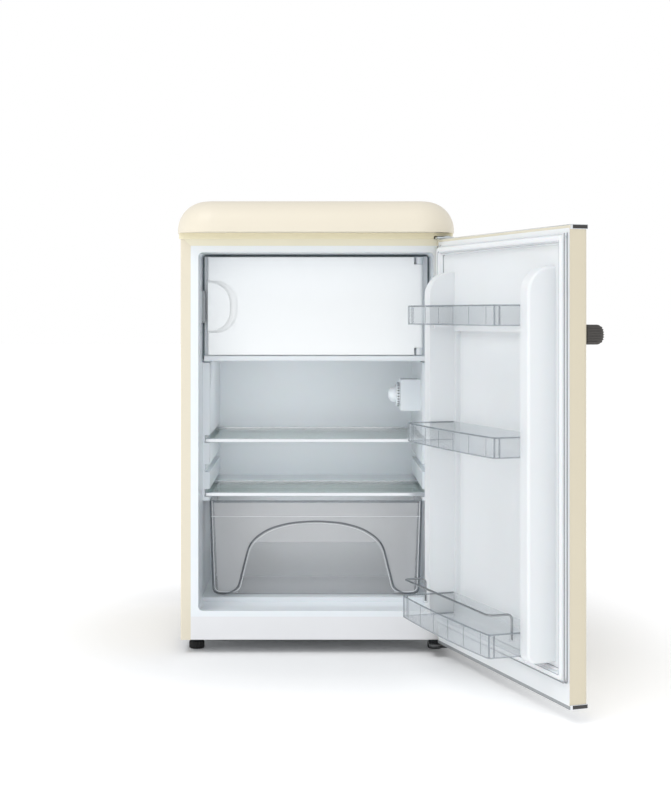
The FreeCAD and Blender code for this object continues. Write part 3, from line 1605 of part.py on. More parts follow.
def feet():
    """Two levelling feet that screw into nuts on the base plate, and two fixed rear feet."""
    stud = "stud_diameter/2"
    for label, x in (("foot_left", "-foot_side"), ("foot_right", "foot_side")):
        foot = turned(
            [
                ("0", "0"),
                ("foot_radius - 2.5", "0"),
                ("foot_radius", "2.5"),
                ("foot_radius", "foot_height - 2"),
                ("foot_radius - 2", "foot_height"),
                (stud, "foot_height"),
                (stud, "body_bottom + 22"),
                ("0", "body_bottom + 22"),
            ],
            x,
            "foot_y",
            name=label,
        )
        piece(label, foot)
    nuts = []
    for x in ("-foot_side", "foot_side"):
        nut = cylinder(x, "foot_y", "body_bottom + 2*steel", "stud_diameter/2 + 3", "8")
        bore = cylinder(x, "foot_y", "body_bottom", "(stud_diameter + stud_play)/2", "20")
        nuts.append(cut(nut, bore))
    piece("foot_nuts", group(*nuts))
    rear = []
    for x in ("-foot_side", "foot_side"):
        pad = cylinder(x, "rear_foot_y", "0", "foot_radius - 2", "body_bottom")
        rear.append(rounded(pad, "2", lambda e: at(e, z="0")))
    piece("rear_feet", group(*rear))


# ---------------------------------------------------------------- whole fridge

side_panels()
top_rail()
kick_panel()
inner_liner()
cabinet_foam()
back_and_base()
hood()
hinges()
icebox()
icebox_flap()
shelf("upper_shelf", "upper_shelf_height", "upper_shelf_depth")
shelf("lower_shelf", "lower_shelf_height", "lower_shelf_depth")
crisper_drawer()
thermostat()
door_shell()
door_liner()
door_gasket()
door_handle()
door_bin("top_bin", "top_bin_height")
door_bin("middle_bin", "middle_bin_height")
door_bin("bottom_bin", "bottom_bin_height", "bottle_bin_height", "bottle_bin_reach", wired=True)
bottle_guard()
compressor()
condenser()
pipework()
feet()

doc.recompute()
for obj in doc.Objects:
    if "Invalid" in obj.State or "Error" in obj.State:
        raise RuntimeError("failed to build: %s (%s)" % (obj.Label, obj.State))
for obj in PIECES:
    if obj.Shape.isNull() or not obj.Shape.isValid() or not obj.Shape.Solids:
        raise RuntimeError("no valid solid: " + obj.Label)
for obj in PIECES:
    obj.Shape.exportStep("parts/%s.step" % obj.Label)
    print("%-22s %2d solids %10.0f mm3" % (obj.Label, len(obj.Shape.Solids), obj.Shape.Volume))
print("%d nodes" % len(PIECES))
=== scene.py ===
"""Looks of an under-counter retro fridge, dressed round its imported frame.

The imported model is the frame. Its nodes keep their places, and this script gives
them finishes and adds the trim, seals, ribs and small fittings that ride on them.
"""

import json
import logging
import math
from dataclasses import dataclass, field
from enum import Enum
from typing import Iterable, Sequence

import bmesh
import bpy
from mathutils import Matrix, Vector


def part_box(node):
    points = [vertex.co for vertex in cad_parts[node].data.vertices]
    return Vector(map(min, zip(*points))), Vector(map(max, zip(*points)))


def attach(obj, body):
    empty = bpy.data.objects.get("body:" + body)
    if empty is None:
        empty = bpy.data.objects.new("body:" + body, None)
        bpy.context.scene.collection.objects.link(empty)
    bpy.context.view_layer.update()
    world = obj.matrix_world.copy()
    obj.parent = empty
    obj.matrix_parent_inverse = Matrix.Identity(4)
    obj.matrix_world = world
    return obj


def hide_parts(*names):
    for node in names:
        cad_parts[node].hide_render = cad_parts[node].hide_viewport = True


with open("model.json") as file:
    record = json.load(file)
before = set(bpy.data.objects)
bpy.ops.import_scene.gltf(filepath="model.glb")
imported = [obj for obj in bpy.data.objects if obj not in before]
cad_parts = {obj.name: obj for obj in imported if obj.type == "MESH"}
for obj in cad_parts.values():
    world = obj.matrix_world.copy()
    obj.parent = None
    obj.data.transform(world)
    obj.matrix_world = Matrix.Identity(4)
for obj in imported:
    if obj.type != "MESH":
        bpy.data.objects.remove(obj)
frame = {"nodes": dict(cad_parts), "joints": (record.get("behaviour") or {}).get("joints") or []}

LOG = logging.getLogger("fridge")
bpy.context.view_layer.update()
MADE: dict[str, bpy.types.Material] = {}

OPAQUE_IOR = 1.5
SUBSURFACE_DEPTH = 0.004
RELIEF_HEIGHT = 0.001
DRIFT_ENDS = (0.3, 0.7)
BRUSH_STRETCH = (0.04, 1.0, 1.0)
CLEAR_GLOSS = 0.6
EDGE_BLEND = 0.35


def srgb(red: float, green: float, blue: float) -> tuple[float, float, float, float]:
    """Linear colour of a display colour.

    Args:
        red: red from 0 to 255.
        green: green from 0 to 255.
        blue: blue from 0 to 255.

    Returns:
        Red, green, blue and alpha, ready for a shader's socket.
    """

    def lift(value: float) -> float:
        """One channel, from display to linear."""
        share = value / 255.0
        return share / 12.92 if share <= 0.04045 else ((share + 0.055) / 1.055) ** 2.4

    return lift(red), lift(green), lift(blue), 1.0


def set_sockets(node: bpy.types.Node, values: dict[str, float | Sequence[float]]) -> None:
    """Puts constants on a node's sockets.

    Args:
        node: the node.
        values: each socket's name and its constant.
    """
    for socket, value in values.items():
        node.inputs[socket].default_value = value


def set_ramp(ramp: bpy.types.Node, stops: Iterable[tuple[float, Sequence[float]]]) -> None:
    """Sets the two stops of a colour ramp.

    Args:
        ramp: the ramp's node.
        stops: each stop's position and colour.
    """
    for stop, (position, colour) in zip(ramp.color_ramp.elements, stops):
        stop.position = position
        stop.color = colour


class Grain(Enum):
    """How the skin of a finish is broken up."""

    PEEL = "peel"
    LEATHER = "leather"
    BRUSHED = "brushed"
    SPANGLE = "spangle"
    CELLS = "cells"
    SMOOTH = "smooth"


@dataclass(frozen=True)
class Finish:
    """An opaque finish with its own colour drift, sheen and skin."""

    name: str
    colour: tuple[float, float, float, float]
    roughness: float = 0.35
    metallic: float = 0.0
    coat: float = 0.0
    coat_roughness: float = 0.05
    subsurface: float = 0.0
    drift: float = 0.03
    drift_scale: float = 6.0
    rough_drift: float = 0.06
    grain: Grain = Grain.PEEL
    grain_scale: float = 600.0
    grain_depth: float = 0.04

    def build(self) -> bpy.types.Material:
        """The finish as a material, made once and then shared.

        Returns:
            The material of this finish.
        """
        if self.name in MADE:
            return MADE[self.name]
        material = MADE[self.name] = bpy.data.materials.new(self.name)
        material.use_nodes = True
        tree = material.node_tree
        shader = tree.nodes["Principled BSDF"]
        set_sockets(shader, {
            "Roughness": self.roughness,
            "Metallic": self.metallic,
            "Coat Weight": self.coat,
            "Coat Roughness": self.coat_roughness,
            "IOR": OPAQUE_IOR,
            "Subsurface Weight": self.subsurface,
            "Subsurface Scale": SUBSURFACE_DEPTH,
        })
        place = tree.nodes.new("ShaderNodeTexCoord").outputs["Object"]
        self._colour(tree, shader, place)
        self._sheen(tree, shader, place)
        self._skin(tree, shader, place)
        return material

    def _noise(self, tree, place, scale: float, detail: float = 3.0):
        """A noise of one scale over the piece.

        Args:
            tree: the material's node tree.
            place: the socket that gives the place on the piece.
            scale: waves per metre.
            detail: finer layers of the noise.

        Returns:
            The noise node.
        """
        noise = tree.nodes.new("ShaderNodeTexNoise")
        set_sockets(noise, {"Scale": scale, "Detail": detail})
        tree.links.new(place, noise.inputs["Vector"])
        return noise

    def _colour(self, tree, shader, place) -> None:
        """Lets the base colour drift a little over the piece.

        Args:
            tree: the material's node tree.
            shader: the surface shader.
            place: the socket that gives the place on the piece.
        """
        shader.inputs["Base Color"].default_value = self.colour
        if self.drift <= 0:
            return
        ramp = tree.nodes.new("ShaderNodeValToRGB")
        low = [c * (1.0 - self.drift) for c in self.colour[:3]] + [1.0]
        high = [min(1.0, c * (1.0 + self.drift)) for c in self.colour[:3]] + [1.0]
        set_ramp(ramp, zip(DRIFT_ENDS, (low, high)))
        if self.grain is Grain.SPANGLE:
            cells = tree.nodes.new("ShaderNodeTexVoronoi")
            cells.inputs["Scale"].default_value = self.grain_scale
            tree.links.new(place, cells.inputs["Vector"])
            tree.links.new(cells.outputs["Color"], ramp.inputs["Fac"])
        else:
            noise = self._noise(tree, place, self.drift_scale)
            tree.links.new(noise.outputs["Fac"], ramp.inputs["Fac"])
        tree.links.new(ramp.outputs["Color"], shader.inputs["Base Color"])

    def _sheen(self, tree, shader, place) -> None:
        """Lets the roughness drift as handling and polish leave it.

        Args:
            tree: the material's node tree.
            shader: the surface shader.
            place: the socket that gives the place on the piece.
        """
        if self.rough_drift <= 0:
            return
        noise = self._noise(tree, place, self.drift_scale * 4.0, 5.0)
        span = tree.nodes.new("ShaderNodeMapRange")
        set_sockets(span, {"To Min": max(0.0, self.roughness - self.rough_drift),
                           "To Max": min(1.0, self.roughness + self.rough_drift)})
        tree.links.new(noise.outputs["Fac"], span.inputs["Value"])
        tree.links.new(span.outputs["Result"], shader.inputs["Roughness"])

    def _skin(self, tree, shader, place) -> None:
        """Raises the finish's fine relief.

        Args:
            tree: the material's node tree.
            shader: the surface shader.
            place: the socket that gives the place on the piece.
        """
        if self.grain is Grain.SMOOTH:
            return
        if self.grain is Grain.BRUSHED:
            stretch = tree.nodes.new("ShaderNodeMapping")
            stretch.inputs["Scale"].default_value = BRUSH_STRETCH
            tree.links.new(place, stretch.inputs["Vector"])
            place = stretch.outputs["Vector"]
        if self.grain in (Grain.LEATHER, Grain.CELLS, Grain.SPANGLE):
            texture = tree.nodes.new("ShaderNodeTexVoronoi")
            texture.inputs["Scale"].default_value = self.grain_scale
            tree.links.new(place, texture.inputs["Vector"])
            height = texture.outputs["Distance"]
        else:
            height = self._noise(tree, place, self.grain_scale, 2.0).outputs["Fac"]
        bump = tree.nodes.new("ShaderNodeBump")
        set_sockets(bump, {"Strength": self.grain_depth, "Distance": RELIEF_HEIGHT})
        tree.links.new(height, bump.inputs["Height"])
        tree.links.new(bump.outputs["Normal"], shader.inputs["Normal"])


@dataclass(frozen=True)
class ClearFinish:
    """A see-through moulding or glass: a tinted film that thickens at grazing angles, under gloss."""

    name: str
    tint: tuple[float, float, float, float]
    edge: tuple[float, float, float, float]
    film: float = 0.16
    edge_film: float = 0.75
    roughness: float = 0.05
    ior: float = 1.46
    ripple_scale: float = 60.0
    ripple_depth: float = 0.03
    cloud: float = 0.03

    def build(self) -> bpy.types.Material:
        """The finish as a material, made once and then shared.

        Returns:
            The material of this finish.
        """
        if self.name in MADE:
            return MADE[self.name]
        material = MADE[self.name] = bpy.data.materials.new(self.name)
        material.use_nodes = True
        tree = material.node_tree
        shader = tree.nodes["Principled BSDF"]
        output = tree.nodes["Material Output"]
        set_sockets(shader, {"Roughness": self.roughness, "IOR": self.ior, "Specular IOR Level": CLEAR_GLOSS})
        place = tree.nodes.new("ShaderNodeTexCoord").outputs["Object"]
        ripple = tree.nodes.new("ShaderNodeTexNoise")
        set_sockets(ripple, {"Scale": self.ripple_scale, "Detail": 2.0})
        tree.links.new(place, ripple.inputs["Vector"])
        bump = tree.nodes.new("ShaderNodeBump")
        set_sockets(bump, {"Strength": self.ripple_depth, "Distance": RELIEF_HEIGHT})
        tree.links.new(ripple.outputs["Fac"], bump.inputs["Height"])
        tree.links.new(bump.outputs["Normal"], shader.inputs["Normal"])
        facing = tree.nodes.new("ShaderNodeLayerWeight")
        facing.inputs["Blend"].default_value = EDGE_BLEND
        colours = tree.nodes.new("ShaderNodeMix")
        colours.data_type = "RGBA"
        colours.inputs["A"].default_value = self.tint
        colours.inputs["B"].default_value = self.edge
        tree.links.new(facing.outputs["Facing"], colours.inputs["Factor"])
        tree.links.new(colours.outputs["Result"], shader.inputs["Base Color"])
        thickness = tree.nodes.new("ShaderNodeMapRange")
        set_sockets(thickness, {"To Min": self.film, "To Max": self.edge_film})
        tree.links.new(facing.outputs["Facing"], thickness.inputs["Value"])
        cloud = tree.nodes.new("ShaderNodeMath")
        cloud.operation = "MULTIPLY_ADD"
        cloud.inputs[1].default_value = self.cloud
        tree.links.new(ripple.outputs["Fac"], cloud.inputs[0])
        tree.links.new(thickness.outputs["Result"], cloud.inputs[2])
        clear = tree.nodes.new("ShaderNodeBsdfTransparent")
        mix = tree.nodes.new("ShaderNodeMixShader")
        tree.links.new(cloud.outputs["Value"], mix.inputs["Fac"])
        tree.links.new(clear.outputs["BSDF"], mix.inputs[1])
        tree.links.new(shader.outputs["BSDF"], mix.inputs[2])
        tree.links.new(mix.outputs["Shader"], output.inputs["Surface"])
        return material


CREAM_ENAMEL = Finish(
    "cream_enamel", srgb(222, 214, 194), roughness=0.28, coat=0.4, rough_drift=0.012, drift=0.012,
    grain_scale=420.0, grain_depth=0.03)
CREAM_EDGE = Finish(
    "cream_door_edge", srgb(210, 201, 178), roughness=0.3, coat=0.35, rough_drift=0.012, drift=0.012,
    grain_scale=420.0, grain_depth=0.03)
CREAM_HOOD = Finish(
    "cream_hood_moulding", srgb(226, 218, 200), roughness=0.42, coat=0.12, coat_roughness=0.3,
    rough_drift=0.012, drift=0.01, drift_scale=3.0, grain_scale=260.0, grain_depth=0.008)
WHITE_LINER = Finish(
    "white_liner_moulding", srgb(230, 235, 239), roughness=0.3, coat=0.25, rough_drift=0.012,
    drift=0.012, subsurface=0.05, grain_scale=350.0, grain_depth=0.035)
WHITE_FLAP = Finish(
    "white_flap_moulding", srgb(252, 254, 255), roughness=0.3, coat=0.3, drift=0.006, rough_drift=0.01,
    grain_scale=500.0, grain_depth=0.02)
WHITE_PANEL = Finish(
    "white_panel_moulding", srgb(226, 227, 229), roughness=0.38, drift=0.012, grain=Grain.LEATHER,
    grain_scale=1500.0, grain_depth=0.04)
DOOR_WHITE = Finish(
    "white_door_moulding", srgb(226, 229, 231), roughness=0.32, coat=0.25, rough_drift=0.012,
    drift=0.01, subsurface=0.05, grain_scale=350.0, grain_depth=0.035)
CREAM_COLLAR = Finish(
    "cream_collar_moulding", srgb(232, 224, 193), roughness=0.3, coat=0.3, rough_drift=0.012,
    drift=0.012, grain_scale=900.0, grain_depth=0.006)
CREAM_RAIL = Finish(
    "cream_rail_enamel", srgb(231, 226, 204), roughness=0.3, coat=0.4, rough_drift=0.012, drift=0.012,
    grain_scale=420.0, grain_depth=0.03)
WIRE = Finish(
    "plated_wire", srgb(150, 153, 156), roughness=0.24, metallic=0.85, drift=0.03, grain=Grain.BRUSHED,
    grain_scale=900.0, grain_depth=0.03)
# Painted shade: the grey of the rods that darken the seal's grooves.
SEAL_SHADE = Finish(
    "seal_groove_painted_shade", srgb(150, 153, 156), roughness=0.6, drift=0.02, grain_scale=900.0, grain_depth=0.04)
# Painted shade: a darker copy of the clear moulding for rims, beads and ribs, standing in for the dark look
# that refraction gives clear edges.
CLEAR_EDGE_SHADE = ClearFinish(
    "clear_edge_painted_shade", srgb(150, 160, 168), srgb(84, 94, 104), film=0.35, edge_film=0.85)
CREAM_CAP = Finish(
    "cream_cap_moulding", srgb(214, 208, 190), roughness=0.25, coat=0.4, drift=0.012, grain_scale=700.0,
    grain_depth=0.02)
INK = Finish("printed_marks", srgb(38, 38, 40), roughness=0.5, drift=0.05)
CLEAR = ClearFinish(
    "clear_bin_moulding", srgb(232, 237, 240), srgb(140, 150, 158), film=0.06, edge_film=0.42,
    roughness=0.05, cloud=0.02)
DRAWER_CLEAR = ClearFinish(
    "clear_drawer_moulding", srgb(228, 230, 232), srgb(120, 124, 130), film=0.07, edge_film=0.8,
    roughness=0.06, cloud=0.02)
DRAWER_FROST = ClearFinish(
    "frosted_drawer_moulding", srgb(230, 231, 233), srgb(190, 194, 198), film=0.38, edge_film=0.8,
    roughness=0.35, ripple_scale=700.0, cloud=0.06)
# Painted shade: the dark tint of the drawer's raised arch bead.
DRAWER_BEAD_SHADE = ClearFinish(
    "drawer_bead_painted_shade", srgb(104, 110, 118), srgb(40, 44, 52), film=0.55, edge_film=0.95,
    roughness=0.12)
# Pale clear of the drawer's cross line, also the painted highlight along the arch bead.
DRAWER_LINE_AND_GLEAM = ClearFinish(
    "drawer_line_and_painted_highlight", srgb(242, 244, 246), srgb(205, 209, 213), film=0.7, edge_film=0.92,
    roughness=0.12)
# Painted shade: a grey-teal colour for the strip that darkens the gap round the icebox.
GAP_SHADE = Finish(
    "gap_shade_finish", srgb(140, 154, 160), roughness=0.8, drift=0.06, grain=Grain.CELLS,
    grain_scale=1200.0, grain_depth=0.2)
SHELF_GLASS = ClearFinish(
    "shelf_glass", srgb(214, 230, 224), srgb(84, 120, 108), film=0.06, edge_film=0.5, roughness=0.02,
    ior=1.52, ripple_depth=0.01, cloud=0.0)
BRIGHT = Finish(
    "bright_trim", srgb(224, 227, 230), roughness=0.16, metallic=0.9, drift=0.02, grain=Grain.BRUSHED,
    grain_scale=900.0, grain_depth=0.03)
ZINC = Finish(
    "zinc_plate", srgb(196, 202, 206), roughness=0.34, metallic=1.0, drift=0.06, grain_scale=500.0,
    grain_depth=0.06)
DARK_METAL = Finish(
    "dark_bracket_plate", srgb(44, 46, 49), roughness=0.26, metallic=0.6, coat=0.3, drift=0.08,
    grain_scale=500.0, grain_depth=0.05)
GALVANISED = Finish(
    "galvanised_sheet", srgb(178, 183, 187), roughness=0.42, metallic=0.95, drift=0.14,
    grain=Grain.SPANGLE, grain_scale=70.0, grain_depth=0.02)
DARK_GRIP = Finish(
    "dark_grip", srgb(74, 71, 68), roughness=0.34, metallic=0.4, coat=0.2, drift=0.08,
    grain=Grain.LEATHER, grain_scale=1400.0, grain_depth=0.06)
GREY_CAP = Finish(
    "grey_cap", srgb(150, 154, 156), roughness=0.32, metallic=0.3, drift=0.03, grain_scale=700.0,
    grain_depth=0.03)
DARK_CAP = Finish(
    "dark_cap", srgb(42, 40, 40), roughness=0.3, coat=0.3, drift=0.05, grain_scale=700.0,
    grain_depth=0.03)
GREY_CATCH = Finish(
    "grey_catch", srgb(158, 163, 166), roughness=0.4, drift=0.03, grain=Grain.LEATHER,
    grain_scale=1600.0, grain_depth=0.05)
RUBBER = Finish(
    "black_rubber", srgb(24, 24, 25), roughness=0.72, drift=0.15, grain=Grain.LEATHER,
    grain_scale=900.0, grain_depth=0.1)
SEAL = Finish(
    "white_seal", srgb(228, 231, 233), roughness=0.5, subsurface=0.08, drift=0.015, grain_scale=900.0,
    grain_depth=0.04)
FOAM = Finish(
    "rigid_foam", srgb(222, 204, 152), roughness=0.85, drift=0.08, drift_scale=30.0, grain=Grain.CELLS,
    grain_scale=900.0, grain_depth=0.5)
BLACK_ENAMEL = Finish(
    "black_enamel", srgb(22, 22, 24), roughness=0.34, coat=0.4, drift=0.15, grain_scale=500.0,
    grain_depth=0.06)
COPPER = Finish(
    "drawn_copper", srgb(196, 120, 82), roughness=0.3, metallic=1.0, drift=0.14, drift_scale=40.0,
    grain=Grain.BRUSHED, grain_scale=900.0, grain_depth=0.05)
ALLOY = Finish(
    "evaporator_alloy", srgb(206, 209, 212), roughness=0.36, metallic=1.0, drift=0.05,
    grain=Grain.BRUSHED, grain_scale=700.0, grain_depth=0.06)
FROSTED = ClearFinish(
    "frosted_cover", srgb(232, 234, 232), srgb(190, 196, 198), film=0.6, edge_film=0.95, roughness=0.3,
    ripple_scale=500.0, cloud=0.05)
BULB = ClearFinish(
    "pearl_bulb", srgb(240, 238, 228), srgb(200, 196, 180), film=0.65, edge_film=0.9, roughness=0.2)
BLACK_PLASTIC = Finish(
    "black_moulding", srgb(30, 30, 32), roughness=0.48, drift=0.1, grain=Grain.LEATHER,
    grain_scale=1200.0, grain_depth=0.1)

NODE_FINISHES: dict[Finish | ClearFinish, tuple[str, ...]] = {
    CREAM_ENAMEL: ("side_panel_left", "side_panel_right"),
    CREAM_RAIL: ("top_rail",),
    CREAM_COLLAR: ("lid_collar",),
    CREAM_EDGE: ("door_skin",),
    CREAM_HOOD: ("top_lid",),
    DOOR_WHITE: ("door_liner",),
    WHITE_LINER: ("inner_liner", "icebox_shell", "flap_pins", "thermostat_knob", "control_housing"),
    WHITE_FLAP: ("flap_panel", "flap_liner", "flap_handle"),
    WHITE_PANEL: ("kick_panel",),
    CLEAR: ("top_bin", "middle_bin", "bottom_bin"),
    DRAWER_CLEAR: ("crisper_drawer",),
    SHELF_GLASS: ("upper_shelf_glass", "lower_shelf_glass"),
    BRIGHT: ("upper_shelf_trim", "lower_shelf_trim"),
    WIRE: ("bottle_guard",),
    DARK_METAL: ("lower_hinge_bracket",),
    ZINC: ("upper_hinge_plate", "hinge_pins", "hinge_screws", "handle_screws", "foot_nuts"),
    GALVANISED: ("back_panel", "base_plate", "compressor_deck"),
    DARK_GRIP: ("handle_grip", "handle_posts"),
    GREY_CAP: ("door_bottom_cap",),
    CREAM_CAP: ("door_top_cap",),
    GREY_CATCH: ("icebox_catch",),
    RUBBER: ("compressor_mounts", "cord_gland", "foot_left", "foot_right", "rear_feet"),
    SEAL: ("door_gasket",),
    FOAM: ("cabinet_foam", "door_foam"),
    BLACK_ENAMEL: ("compressor", "condenser_pipe", "condenser_wires"),
    COPPER: ("filter_drier", "refrigerant_pipes"),
    ALLOY: ("evaporator_plate",),
    FROSTED: ("lamp_cover",),
    BULB: ("lamp_bulb",),
    BLACK_PLASTIC: ("thermostat_switch", "hinge_bushes", "terminal_box", "evaporation_tray",
                    "condenser_clips"),
}


def door_at_rest() -> Matrix:
    """Where the closed door's pieces go when the door rests open.

    Returns:
        The turn about the hinge line, in metres.
    """
    joint = next(j for j in frame["joints"] if j["name"] == "door_hinge")
    pivot = Matrix.Translation(Vector(joint["pos_m"]))
    turn = Matrix.Rotation(math.radians(-joint["range_deg"][0]), 4, "Z")
    return pivot @ turn @ pivot.inverted()


@dataclass
class Blank:
    """A mesh under construction, in millimetres."""

    bm: bmesh.types.BMesh = field(default_factory=bmesh.new)

    def block(self, low: Sequence[float], high: Sequence[float], bevel: float = 0.0, steps: int = 3) -> None:
        """Adds a box with softened edges.

        Args:
            low: its lowest corner.
            high: its highest corner.
            bevel: width of the softened edges.
            steps: facets across each softened edge.
        """
        middle = [(a + b) / 2 for a, b in zip(low, high)]
        spans = [b - a for a, b in zip(low, high)]
        place = Matrix.Translation(middle) @ Matrix.Diagonal((*spans, 1.0))
        made = bmesh.ops.create_cube(self.bm, size=1.0, matrix=place)
        if bevel > 0:
            edges = list({e for v in made["verts"] for e in v.link_edges})
            bmesh.ops.bevel(self.bm, geom=edges, offset=bevel, segments=steps, affect="EDGES", profile=0.5)

    def rings(self, rings: Sequence[Sequence[Vector]], closed: bool = False) -> None:
        """Adds a skin through rings of the same number of points.

        Args:
            rings: the rings, in order.
            closed: joins the last ring to the first; otherwise the ends are capped.
        """
        loops = [[self.bm.verts.new(point) for point in ring] for ring in rings]
        pairs = list(zip(loops, loops[1:])) + ([(loops[-1], loops[0])] if closed else [])
        for one, two in pairs:
            for i in range(len(one)):
                j = (i + 1) % len(one)
                self.bm.faces.new((one[i], one[j], two[j], two[i]))
        if not closed:
            self.bm.faces.new(list(reversed(loops[0])))
            self.bm.faces.new(loops[-1])

    def tube(self, path: Sequence[Vector], radius: float, sides: int = 12, closed: bool = False) -> None:
        """Adds a round rod along a path.

        Args:
            path: the points of its middle line.
            radius: its radius.
            sides: facets round it.
            closed: joins its ends.
        """
        count = len(path)
        rings = []
        up = Vector((0.0, 0.0, 1.0))
        side = None
        for i, here in enumerate(path):
            before = path[i - 1] if i or closed else here
            after = path[(i + 1) % count] if i + 1 < count or closed else here
            along = (after - before).normalized()
            if side is None:
                helper = up if abs(along.dot(up)) < 0.9 else Vector((1.0, 0.0, 0.0))
                side = along.cross(helper).normalized()
            else:
                side = (side - along * side.dot(along)).normalized()
            third = along.cross(side)
            ring = []
            for k in range(sides):
                angle = math.tau * k / sides
                ring.append(here + (side * math.cos(angle) + third * math.sin(angle)) * radius)
            rings.append(ring)
        self.rings(rings, closed)

    def lathe(self, profile: Sequence[tuple[float, float]], foot: Sequence[float], axis: Sequence[float],
              sides: int = 48, flutes: int = 0, flute_depth: float = 0.0) -> None:
        """Adds a turned solid.

        Args:
            profile: radius and height of each turn, from foot to head.
            foot: the point that the heights start from.
            axis: the direction of the heights.
            sides: facets round it.
            flutes: number of grip flutes round it.
            flute_depth: depth of the flutes, as a share of the radius.
        """
        turn = Vector(axis).to_track_quat("Z", "Y").to_matrix()
        rings = []
        for radius, height in profile:
            ring = []
            for k in range(sides):
                angle = math.tau * k / sides
                cut = 1.0 - flute_depth * (0.5 - 0.5 * math.cos(flutes * angle)) if flutes else 1.0
                point = Vector((radius * cut * math.cos(angle), radius * cut * math.sin(angle), height))
                ring.append(Vector(foot) + turn @ point)
            rings.append(ring)
        self.rings(rings)

    def make(self, name: str, finish: Finish | ClearFinish, body: str, slot: str,
             replaces: Sequence[str] = (), on_door: bool = False, crease: float = 35.0) -> None:
        """Turns the blank into a finished piece that rides on a body.

        Args:
            name: the piece's name.
            finish: what it is finished in.
            body: the body that it moves with.
            slot: not used.
            replaces: the nodes that it stands for.
            on_door: whether it was drawn on the closed door.
            crease: edges sharper than this stay sharp, in degrees.
        """
        bmesh.ops.recalc_face_normals(self.bm, faces=self.bm.faces)
        mesh = bpy.data.meshes.new(name)
        self.bm.to_mesh(mesh)
        self.bm.free()
        place = Matrix.Diagonal((0.001, 0.001, 0.001, 1.0))
        mesh.transform(door_at_rest() @ place if on_door else place)
        mesh.materials.append(finish.build())
        mesh.shade_smooth()
        mesh.set_sharp_from_angle(angle=math.radians(crease))
        thing = bpy.data.objects.new(name, mesh)
        bpy.context.scene.collection.objects.link(thing)
        if replaces:
            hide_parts(*replaces)
        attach(thing, body)
        LOG.info("  %s on %s", name, body)


def bent(points: Sequence[Sequence[float]], radius: float, steps: int = 8,
         closed: bool = False) -> list[Vector]:
    """A path through corners, each eased by an arc.

    Args:
        points: the corners.
        radius: length taken off each side of a corner.
        steps: points along each arc.
        closed: whether the path returns to its start.

    Returns:
        The points of the eased path.
    """
    corners = [Vector(p) for p in points]
    count = len(corners)
    path = [] if closed else [corners[0]]
    for i in range(0 if closed else 1, count if closed else count - 1):
        here, before, after = corners[i], corners[i - 1], corners[(i + 1) % count]
        reach = min(radius, (before - here).length * 0.49, (after - here).length * 0.49)
        start = here + (before - here).normalized() * reach
        end = here + (after - here).normalized() * reach
        for k in range(steps + 1):
            t = k / steps
            path.append(start * (1 - t) ** 2 + here * 2 * t * (1 - t) + end * t * t)
    if not closed:
        path.append(corners[-1])
    return path


@dataclass
class DoorSeal:
    """The bellows seal round the door's inner face."""

    half: float = 259.0
    low: float = 67.0
    high: float = 805.0
    base: float = -263.5
    crown: float = -253.3
    corner: float = 12.0

    def build(self) -> None:
        """Sweeps the seal's profile round the door."""
        rise = self.crown - self.base
        profile = [(0.0, 0.0), (0.0, 0.35), (0.8, 0.55), (1.6, 0.42), (2.4, 0.40), (3.2, 0.62),
                   (4.0, 0.92), (5.6, 1.0), (11.0, 1.0), (12.6, 0.92), (13.4, 0.60), (14.2, 0.36),
                   (15.2, 0.34), (16.2, 0.50), (17.2, 0.46), (18.0, 0.22), (18.0, 0.0)]
        blank = Blank()
        rings = []
        for sx, sz, start in ((1, 1, 0), (-1, 1, 90), (-1, -1, 180), (1, -1, 270)):
            corner_x = sx * (self.half - self.corner)
            corner_z = (self.high if sz > 0 else self.low) - sz * self.corner
            for k in range(7):
                angle = math.radians(start + 15 * k)
                rings.append([self._point(corner_x, corner_z, angle, sx, sz, u, rise * v)
                              for u, v in profile])
        blank.rings(rings, closed=True)
        blank.make("door_seal_bellows", SEAL, "door", "white_seal", ("door_gasket",), on_door=True,
                   crease=50.0)
        self._grooves()

    def _grooves(self) -> None:
        """Grey rods along the seal's two lips: painted shade in its grooves."""
        shade = Blank()
        for inward, rise, radius in ((0.1, 5.6, 1.0), (-0.6, 0.7, 0.9), (11.4, 9.6, 0.7), (18.3, 0.5, 0.6)):
            half, low, high = self.half - inward, self.low + inward, self.high - inward
            loop = [(-half, low), (half, low), (half, high), (-half, high)]
            path = [Vector((x, self.base + rise, z)) for x, z in loop]
            shade.tube(bent([path[3], path[0], path[1], path[2], path[3]], 5.0, 5)[:-1], radius, 8)
        shade.make("door_seal_groove_shade", SEAL_SHADE, "door", "white_seal", on_door=True)

    def _point(self, x: float, z: float, angle: float, sx: int, sz: int, inward: float,
               rise: float) -> Vector:
        """One point of the swept profile.

        Args:
            x: middle of the corner's arc across the door.
            z: middle of the corner's arc up the door.
            angle: direction from that middle.
            sx: side of the door.
            sz: end of the door.
            inward: distance from the seal's outer edge.
            rise: height above the door's inner face.

        Returns:
            The point.
        """
        reach = self.corner - inward
        if reach >= 0:
            return Vector((x + reach * math.cos(angle), self.base + rise, z + reach * math.sin(angle)))
        return Vector((x + sx * reach, self.base + rise, z + sz * reach))


